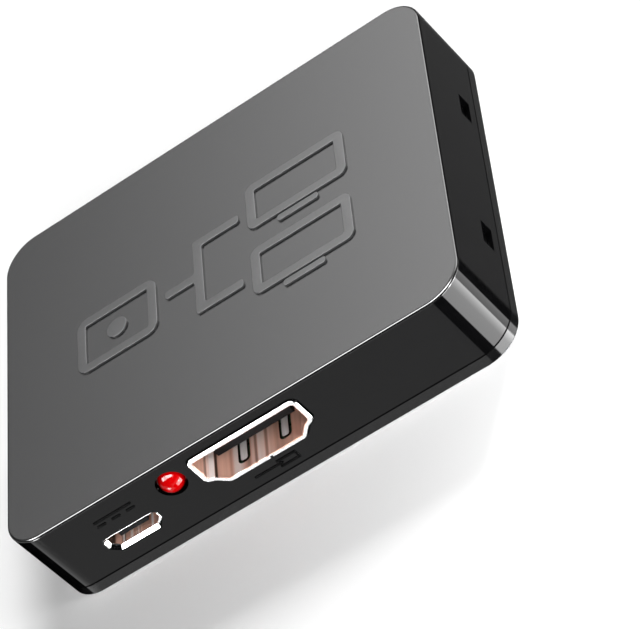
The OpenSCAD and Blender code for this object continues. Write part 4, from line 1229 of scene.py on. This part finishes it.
def make_marks(context):
    """Raised generic marks on the roof and beside the sockets."""
    colours = colours_of(context)
    relief = mm(context.scene.splitter_case, "relief")
    thick = relief + ROOF_SUNK
    roof = join([flat_shape("mark", loops, thick, ROOF_MARK_ROUND) for loops in roof_mark_loops()])
    roof.data.transform(Matrix.Translation((0, 0, TOP_HIGH.z - ROOF_SUNK + thick / 2)))
    seat(smooth(roof), "roof_mark", "black_plastic", [relief_plastic(colours)])
    marks = {
        "input_mark": (inlet_loops(), VIDEO_PLACES["input"], WALL_MARK_Z),
        "power_mark": (direct_current_loops(), POWER_PLACE, POWER_MARK_Z),
    }
    for number in "12":
        name = "output_" + number
        digit = [(x + DIGIT_X, y) for x, y in DIGITS[number]]
        marks[name + "_mark"] = (outlet_loops() + [[digit]], VIDEO_PLACES[name], WALL_MARK_Z)
    dark = mark_plastic(colours)
    for name, (shapes, place, z) in marks.items():
        seat(smooth(wall_mark(shapes, place, z)), name, "black_plastic", [dark])


# Pieces that keep their CAD shape

def dress_inner_parts(context):
    """Finishes for the board, its parts, the insulators and the leads."""
    colours = colours_of(context)
    made = {"board": board_lacquer(colours), "contact": gold_plate(colours)}
    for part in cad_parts.values():
        if part.hide_render:
            continue
        slot = part.data.materials[0].name.split(".")[0]
        if slot not in made:
            made[slot] = plain_finish(slot)
        part.data.materials[0] = made[slot]


# Studio

# The camera: its place and its sensor's width in millimetres, its own axes, and its near limit in metres.
CAMERA_PLACE = (137.92, -272.06, 210.23)
SENSOR = 36.0
CAMERA_X = (0.79857, -0.07564, -0.59713)
CAMERA_Y = (0.48264, 0.67324, 0.56018)
CAMERA_Z = (0.35964, -0.73554, 0.57414)
NEAR_CLIP = 0.01
# Softboxes: the direction of each from the part, its distance and its size in metres.
KEY_DIRECTION = (0.22, 0.78, 0.48)
KEY_DISTANCE = 0.6
KEY_SIZE = 0.22
FRONT_DIRECTION = (0.18, -0.84, 0.5)
FRONT_SIZE = 0.3
SIDE_DIRECTION = (0.768, -0.563, 0.307)
SIDE_DISTANCE = 0.098
SIDE_SIZE = 0.03
# The floor: half its width, and where it begins to fade and is gone, all in metres.
FLOOR_HALF = 3.0
FLOOR_FADE = (0.12, 0.4)
# Its gap under the part in millimetres, and its own glow.
FLOOR_GAP = 0.02
FLOOR_LIFT = 0.03
# Panels low round the part: start and end in degrees from the front towards the right, and the level at each.
PANELS = (
    (-180, -153, 0.2, 0.2),
    (-153, -70, 0.0, 0.0),
    (-70, -50, 2.0, 1.15),
    (-50, -7, 1.05, 1.05),
    (-7, 25, 0.0, 0.0),
    (25, 60, 12.5, 12.5),
    (60, 86, 12.5, 22.0),
    (86, 111, 4.4, 4.4),
    (111, 143, 0.0, 0.0),
    (143, 162, 0.05, 0.2),
    (162, 180, 0.2, 0.2),
)
PANEL_MAX = 25.0
# Half the step between one panel and the next, in degrees.
PANEL_SOFT = 0.6
# Heights from the lowest to the highest, and how much of the low panels shows there.
PANEL_EDGES = ((-0.82, 0.0), (-0.76, 1.0), (-0.36, 1.0), (-0.3, 0.0))
# Level with the part, between the low panels and the ones overhead, with dark gaps.
SIDES = (
    (-180, -149, 0.8, 0.8),
    (-149, -125, 0.05, 0.05),
    (-125, -36, 0.8, 0.8),
    (-36, -8, 0.05, 0.05),
    (-8, 127, 0.8, 0.8),
    (127, 153, 0.05, 0.05),
    (153, 180, 0.8, 0.8),
)
SIDE_RISE = (-0.6, -0.5, 0.1, 1.0)
HIGH_LEVEL = 0.06
# The sky overhead: heights where it begins and is full, and its level, then the same two places along Y.
RING = (0.47, 0.54, 0.9)
RING_START = (-0.45, -0.25)
# Where the sky passes from the low panels to the ones overhead.
HORIZON = (-0.02, 0.02)
# Round panels: direction, the cosines where each begins and is full, and its level.
BACK_PANEL = ((0.763, 0.091, 0.652), 0.11, 0.33, 5.8)
# The large one keeps behind the part and well up: where it begins and is full, along Y and in height.
BACK_START = (0.2, 0.45)
BACK_RISE = (0.38, 0.47)
SPOTS = (
    ((0.766, -0.499, -0.403), 0.9925, 0.997, 40.0),
    ((-0.64, -0.66, -0.39), 0.982, 0.99, 20.0),
    ((0.2, 0.735, 0.65), 0.97, 0.985, 3.5),
)
# Two strip lights overhead in one line: its normal, its half width, and the levels along X.
STRIP_NORMAL = (0.0, 0.94, 0.34)
STRIP_HALF = (0.26, 0.18)
STRIPS = ((-0.78, 0.0), (-0.72, 1.0), (-0.56, 1.0), (-0.52, 0.0),
          (-0.24, 0.0), (-0.2, 1.0), (0.6, 1.0), (0.7, 0.0))
STRIP_LEVEL = 32.0
# A third strip overhead, short and wide, in the gap between the two.
SHORT_NORMAL = (0.0, 0.9337, 0.358)
SHORT_HALF = (0.3, 0.25)
SHORT = ((-0.56, 0.0), (-0.52, 1.0), (-0.26, 1.0), (-0.22, 0.0))
SHORT_LEVEL = 18.0


def make_camera(settings):
    """The camera at the photograph's angle."""
    data = bpy.data.cameras.new("camera")
    data.lens = settings.lens
    data.sensor_width = SENSOR
    data.sensor_fit = "HORIZONTAL"
    data.clip_start = NEAR_CLIP
    camera = placed("camera", data)
    turn = Matrix((CAMERA_X, CAMERA_Y, CAMERA_Z)).transposed().to_4x4()
    camera.matrix_world = Matrix.Translation(Vector(CAMERA_PLACE) * MM) @ turn
    bpy.context.scene.camera = camera


def make_softbox(name, direction, distance, size, power):
    """A square area lamp that faces the part."""
    data = bpy.data.lights.new(name, "AREA")
    data.shape = "SQUARE"
    data.size = size
    data.energy = power
    lamp = placed(name, data)
    away = Vector(direction).normalized()
    turn = away.to_track_quat("Z", "Y").to_matrix().to_4x4()
    lamp.matrix_world = Matrix.Translation(away * distance) @ turn
    lamp.visible_glossy = False


def panel_stops(panels, most):
    """Panels round the part as places and levels on a ramp."""
    stops = []
    for start, end, first, last in panels:
        stops.append(((start + 180 + PANEL_SOFT) / 360, first / most))
        stops.append(((end + 180 - PANEL_SOFT) / 360, last / most))
    return stops


def toward(world, place, direction):
    """How nearly a place on the sky lies in a direction, as a cosine."""
    near = node(world, "ShaderNodeVectorMath", operation="DOT_PRODUCT")
    near.inputs[1].default_value = Vector(direction).normalized()
    feed(world, near.inputs[0], place)
    return near.outputs["Value"]


def round_panel(world, place, direction, start, full, level):
    """A round panel on the sky with a soft edge."""
    return ranged(world, toward(world, place, direction), start, full, 0.0, level)


def seen_directly(holder, path):
    """One for what the camera sees, also through clear pieces, and nothing for the rest."""
    return calc(holder, "MAXIMUM", path.outputs["Is Camera Ray"], path.outputs["Is Transmission Ray"])


def make_world(settings):
    """White surroundings with a plain fill, and panels that polished faces show."""
    world = bpy.data.worlds.new("studio")
    world.use_nodes = True
    bpy.context.scene.world = world
    place = node(world, "ShaderNodeTexCoord").outputs["Generated"]
    split = node(world, "ShaderNodeSeparateXYZ")
    feed(world, split.inputs[0], place)
    x, y, z = split.outputs
    turn = calc(world, "ARCTAN2", x, calc(world, "MULTIPLY", y, -1.0))
    turn = calc(world, "ADD", calc(world, "DIVIDE", turn, 2 * math.pi), 0.5)
    strips = calc(world, "MULTIPLY", level_ramp(world, turn, panel_stops(PANELS, PANEL_MAX)), PANEL_MAX)
    height = calc(world, "ADD", calc(world, "MULTIPLY", z, 0.5), 0.5)
    window = level_ramp(world, height, [((at + 1) / 2, level) for at, level in PANEL_EDGES])
    sides = calc(world, "MULTIPLY", level_ramp(world, turn, panel_stops(SIDES, 1.0)),
                 ranged(world, z, *SIDE_RISE))
    low = blended(world, window, sides, strips)
    start, full, level = RING
    ring = calc(world, "MULTIPLY", ranged(world, z, start, full, 0.0, level),
                ranged(world, y, *RING_START, 0.0, 1.0))
    high = calc(world, "ADD", HIGH_LEVEL, ring)
    behind = calc(world, "MULTIPLY", ranged(world, y, *BACK_START, 0.0, 1.0),
                  ranged(world, z, *BACK_RISE, 0.0, 1.0))
    back = calc(world, "MULTIPLY", behind, round_panel(world, place, *BACK_PANEL))
    high = calc(world, "ADD", high, back)
    across = ranged(world, x, -1.0, 1.0, 0.0, 1.0)
    for normal, half, stops, level in ((STRIP_NORMAL, STRIP_HALF, STRIPS, STRIP_LEVEL),
                                       (SHORT_NORMAL, SHORT_HALF, SHORT, SHORT_LEVEL)):
        beside = calc(world, "ABSOLUTE", toward(world, place, normal), 0.0)
        along = level_ramp(world, across, [((at + 1) / 2, share) for at, share in stops])
        strip = calc(world, "MULTIPLY", along, ranged(world, beside, *half, 0.0, level))
        high = calc(world, "ADD", high, strip)
    panels = blended(world, ranged(world, z, *HORIZON, 0.0, 1.0), low, high)
    for spot in SPOTS:
        panels = calc(world, "ADD", panels, round_panel(world, place, *spot))
    path = node(world, "ShaderNodeLightPath")
    level = blended(world, path.outputs["Is Glossy Ray"], settings.fill, panels)
    sky = world.node_tree.nodes["Background"]
    feed(world, sky.inputs["Strength"], blended(world, seen_directly(world, path), level, 1.0))
    sky.inputs["Color"].default_value = (1, 1, 1, 1)


def make_floor(settings):
    """A plain pale floor that keeps the part's shadow, and is clear from below."""
    half, z = FLOOR_HALF, -FLOOR_GAP * MM
    corners = [(-half, -half, z), (half, -half, z), (half, half, z), (-half, half, z)]
    mesh = bpy.data.meshes.new("floor")
    mesh.from_pydata(corners, [], [(0, 1, 2, 3)])
    floor = placed("floor", mesh)
    floor.visible_glossy = False
    material = finish("pale_floor", (settings.floor,) * 3, 0.9, Specular_IOR_Level=0.0,
                      Emission_Color=(1.0, 1.0, 1.0, 1.0))
    path = node(material, "ShaderNodeLightPath")
    lift = calc(material, "MULTIPLY", seen_directly(material, path), FLOOR_LIFT)
    shader = shader_of(material)
    feed(material, shader.inputs["Emission Strength"], lift)
    above = calc(material, "SUBTRACT", 1.0, node(material, "ShaderNodeNewGeometry").outputs["Backfacing"])
    away = node(material, "ShaderNodeVectorMath", operation="LENGTH")
    feed(material, away.inputs[0], node(material, "ShaderNodeTexCoord").outputs["Object"])
    near = ranged(material, away.outputs["Value"], *FLOOR_FADE, 1.0, 0.0)
    feed(material, shader.inputs["Alpha"], calc(material, "MULTIPLY", above, near))
    mesh.materials.append(material)


def make_studio(context):
    """Camera, floor, softboxes and surroundings."""
    settings = context.scene.splitter_studio
    context.scene.view_settings.view_transform = "Standard"
    make_camera(settings)
    make_floor(settings)
    make_softbox("key", KEY_DIRECTION, KEY_DISTANCE, KEY_SIZE, settings.key)
    make_softbox("front", FRONT_DIRECTION, KEY_DISTANCE, FRONT_SIZE, settings.front)
    make_softbox("side", SIDE_DIRECTION, SIDE_DISTANCE, SIDE_SIZE, settings.side)
    make_world(settings)


# Operators

class SPLITTER_OT_studio(Operator):
    """Set up the camera, floor and light"""
    bl_idname = "splitter.studio"
    bl_label = "Studio"

    def execute(self, context):
        make_studio(context)
        return {"FINISHED"}


class SPLITTER_OT_top_cover(Operator):
    """Make the top cover"""
    bl_idname = "splitter.top_cover"
    bl_label = "Top cover"

    def execute(self, context):
        make_top_cover(context)
        return {"FINISHED"}


class SPLITTER_OT_bottom_cover(Operator):
    """Make the bottom cover"""
    bl_idname = "splitter.bottom_cover"
    bl_label = "Bottom cover"

    def execute(self, context):
        make_bottom_cover(context)
        return {"FINISHED"}


class SPLITTER_OT_video_shells(Operator):
    """Make the three video socket shells"""
    bl_idname = "splitter.video_shells"
    bl_label = "Video socket shells"

    def execute(self, context):
        make_video_shells(context)
        return {"FINISHED"}


class SPLITTER_OT_contacts(Operator):
    """Make the rows of contacts"""
    bl_idname = "splitter.contacts"
    bl_label = "Contacts"

    def execute(self, context):
        make_contacts(context)
        return {"FINISHED"}


class SPLITTER_OT_power_shell(Operator):
    """Make the power socket shell"""
    bl_idname = "splitter.power_shell"
    bl_label = "Power socket shell"

    def execute(self, context):
        make_power_shell(context)
        return {"FINISHED"}


class SPLITTER_OT_light_lens(Operator):
    """Make the lens of the status light"""
    bl_idname = "splitter.light_lens"
    bl_label = "Light lens"

    def execute(self, context):
        make_light_lens(context)
        return {"FINISHED"}


class SPLITTER_OT_marks(Operator):
    """Make the raised marks"""
    bl_idname = "splitter.marks"
    bl_label = "Raised marks"

    def execute(self, context):
        make_marks(context)
        return {"FINISHED"}


class SPLITTER_OT_inner_parts(Operator):
    """Give the board and the parts on it their finishes"""
    bl_idname = "splitter.inner_parts"
    bl_label = "Inner parts"

    def execute(self, context):
        dress_inner_parts(context)
        return {"FINISHED"}


STEPS = (
    SPLITTER_OT_studio,
    SPLITTER_OT_top_cover,
    SPLITTER_OT_bottom_cover,
    SPLITTER_OT_video_shells,
    SPLITTER_OT_contacts,
    SPLITTER_OT_power_shell,
    SPLITTER_OT_light_lens,
    SPLITTER_OT_marks,
    SPLITTER_OT_inner_parts,
)
GROUPS = {
    "splitter_case": CaseSizes,
    "splitter_sockets": SocketSizes,
    "splitter_colours": FinishColours,
    "splitter_studio": StudioSettings,
}


class SPLITTER_PT_panel(Panel):
    """Lists the steps and their sizes"""
    bl_idname = "SPLITTER_PT_panel"
    bl_label = "Video splitter"
    bl_space_type = "VIEW_3D"
    bl_region_type = "UI"
    bl_category = "Splitter"

    def draw(self, context):
        for step in STEPS:
            self.layout.operator(step.bl_idname)
        for name, group in GROUPS.items():
            box = self.layout.box()
            box.label(text=group.__doc__)
            for key in group.__annotations__:
                box.prop(getattr(context.scene, name), key)


def register():
    """Registers the property groups, operators and panel."""
    for name, group in GROUPS.items():
        bpy.utils.register_class(group)
        setattr(bpy.types.Scene, name, PointerProperty(type=group))
    for step in STEPS:
        bpy.utils.register_class(step)
    bpy.utils.register_class(SPLITTER_PT_panel)


def unregister():
    """Undoes what register did."""
    bpy.utils.unregister_class(SPLITTER_PT_panel)
    for step in reversed(STEPS):
        bpy.utils.unregister_class(step)
    for name, group in reversed(GROUPS.items()):
        delattr(bpy.types.Scene, name)
        bpy.utils.unregister_class(group)


def main():
    """Makes everything in order."""
    register()
    for step in STEPS:
        family, name = step.bl_idname.split(".")
        getattr(getattr(bpy.ops, family), name)()


if __name__ == "__main__":
    main()
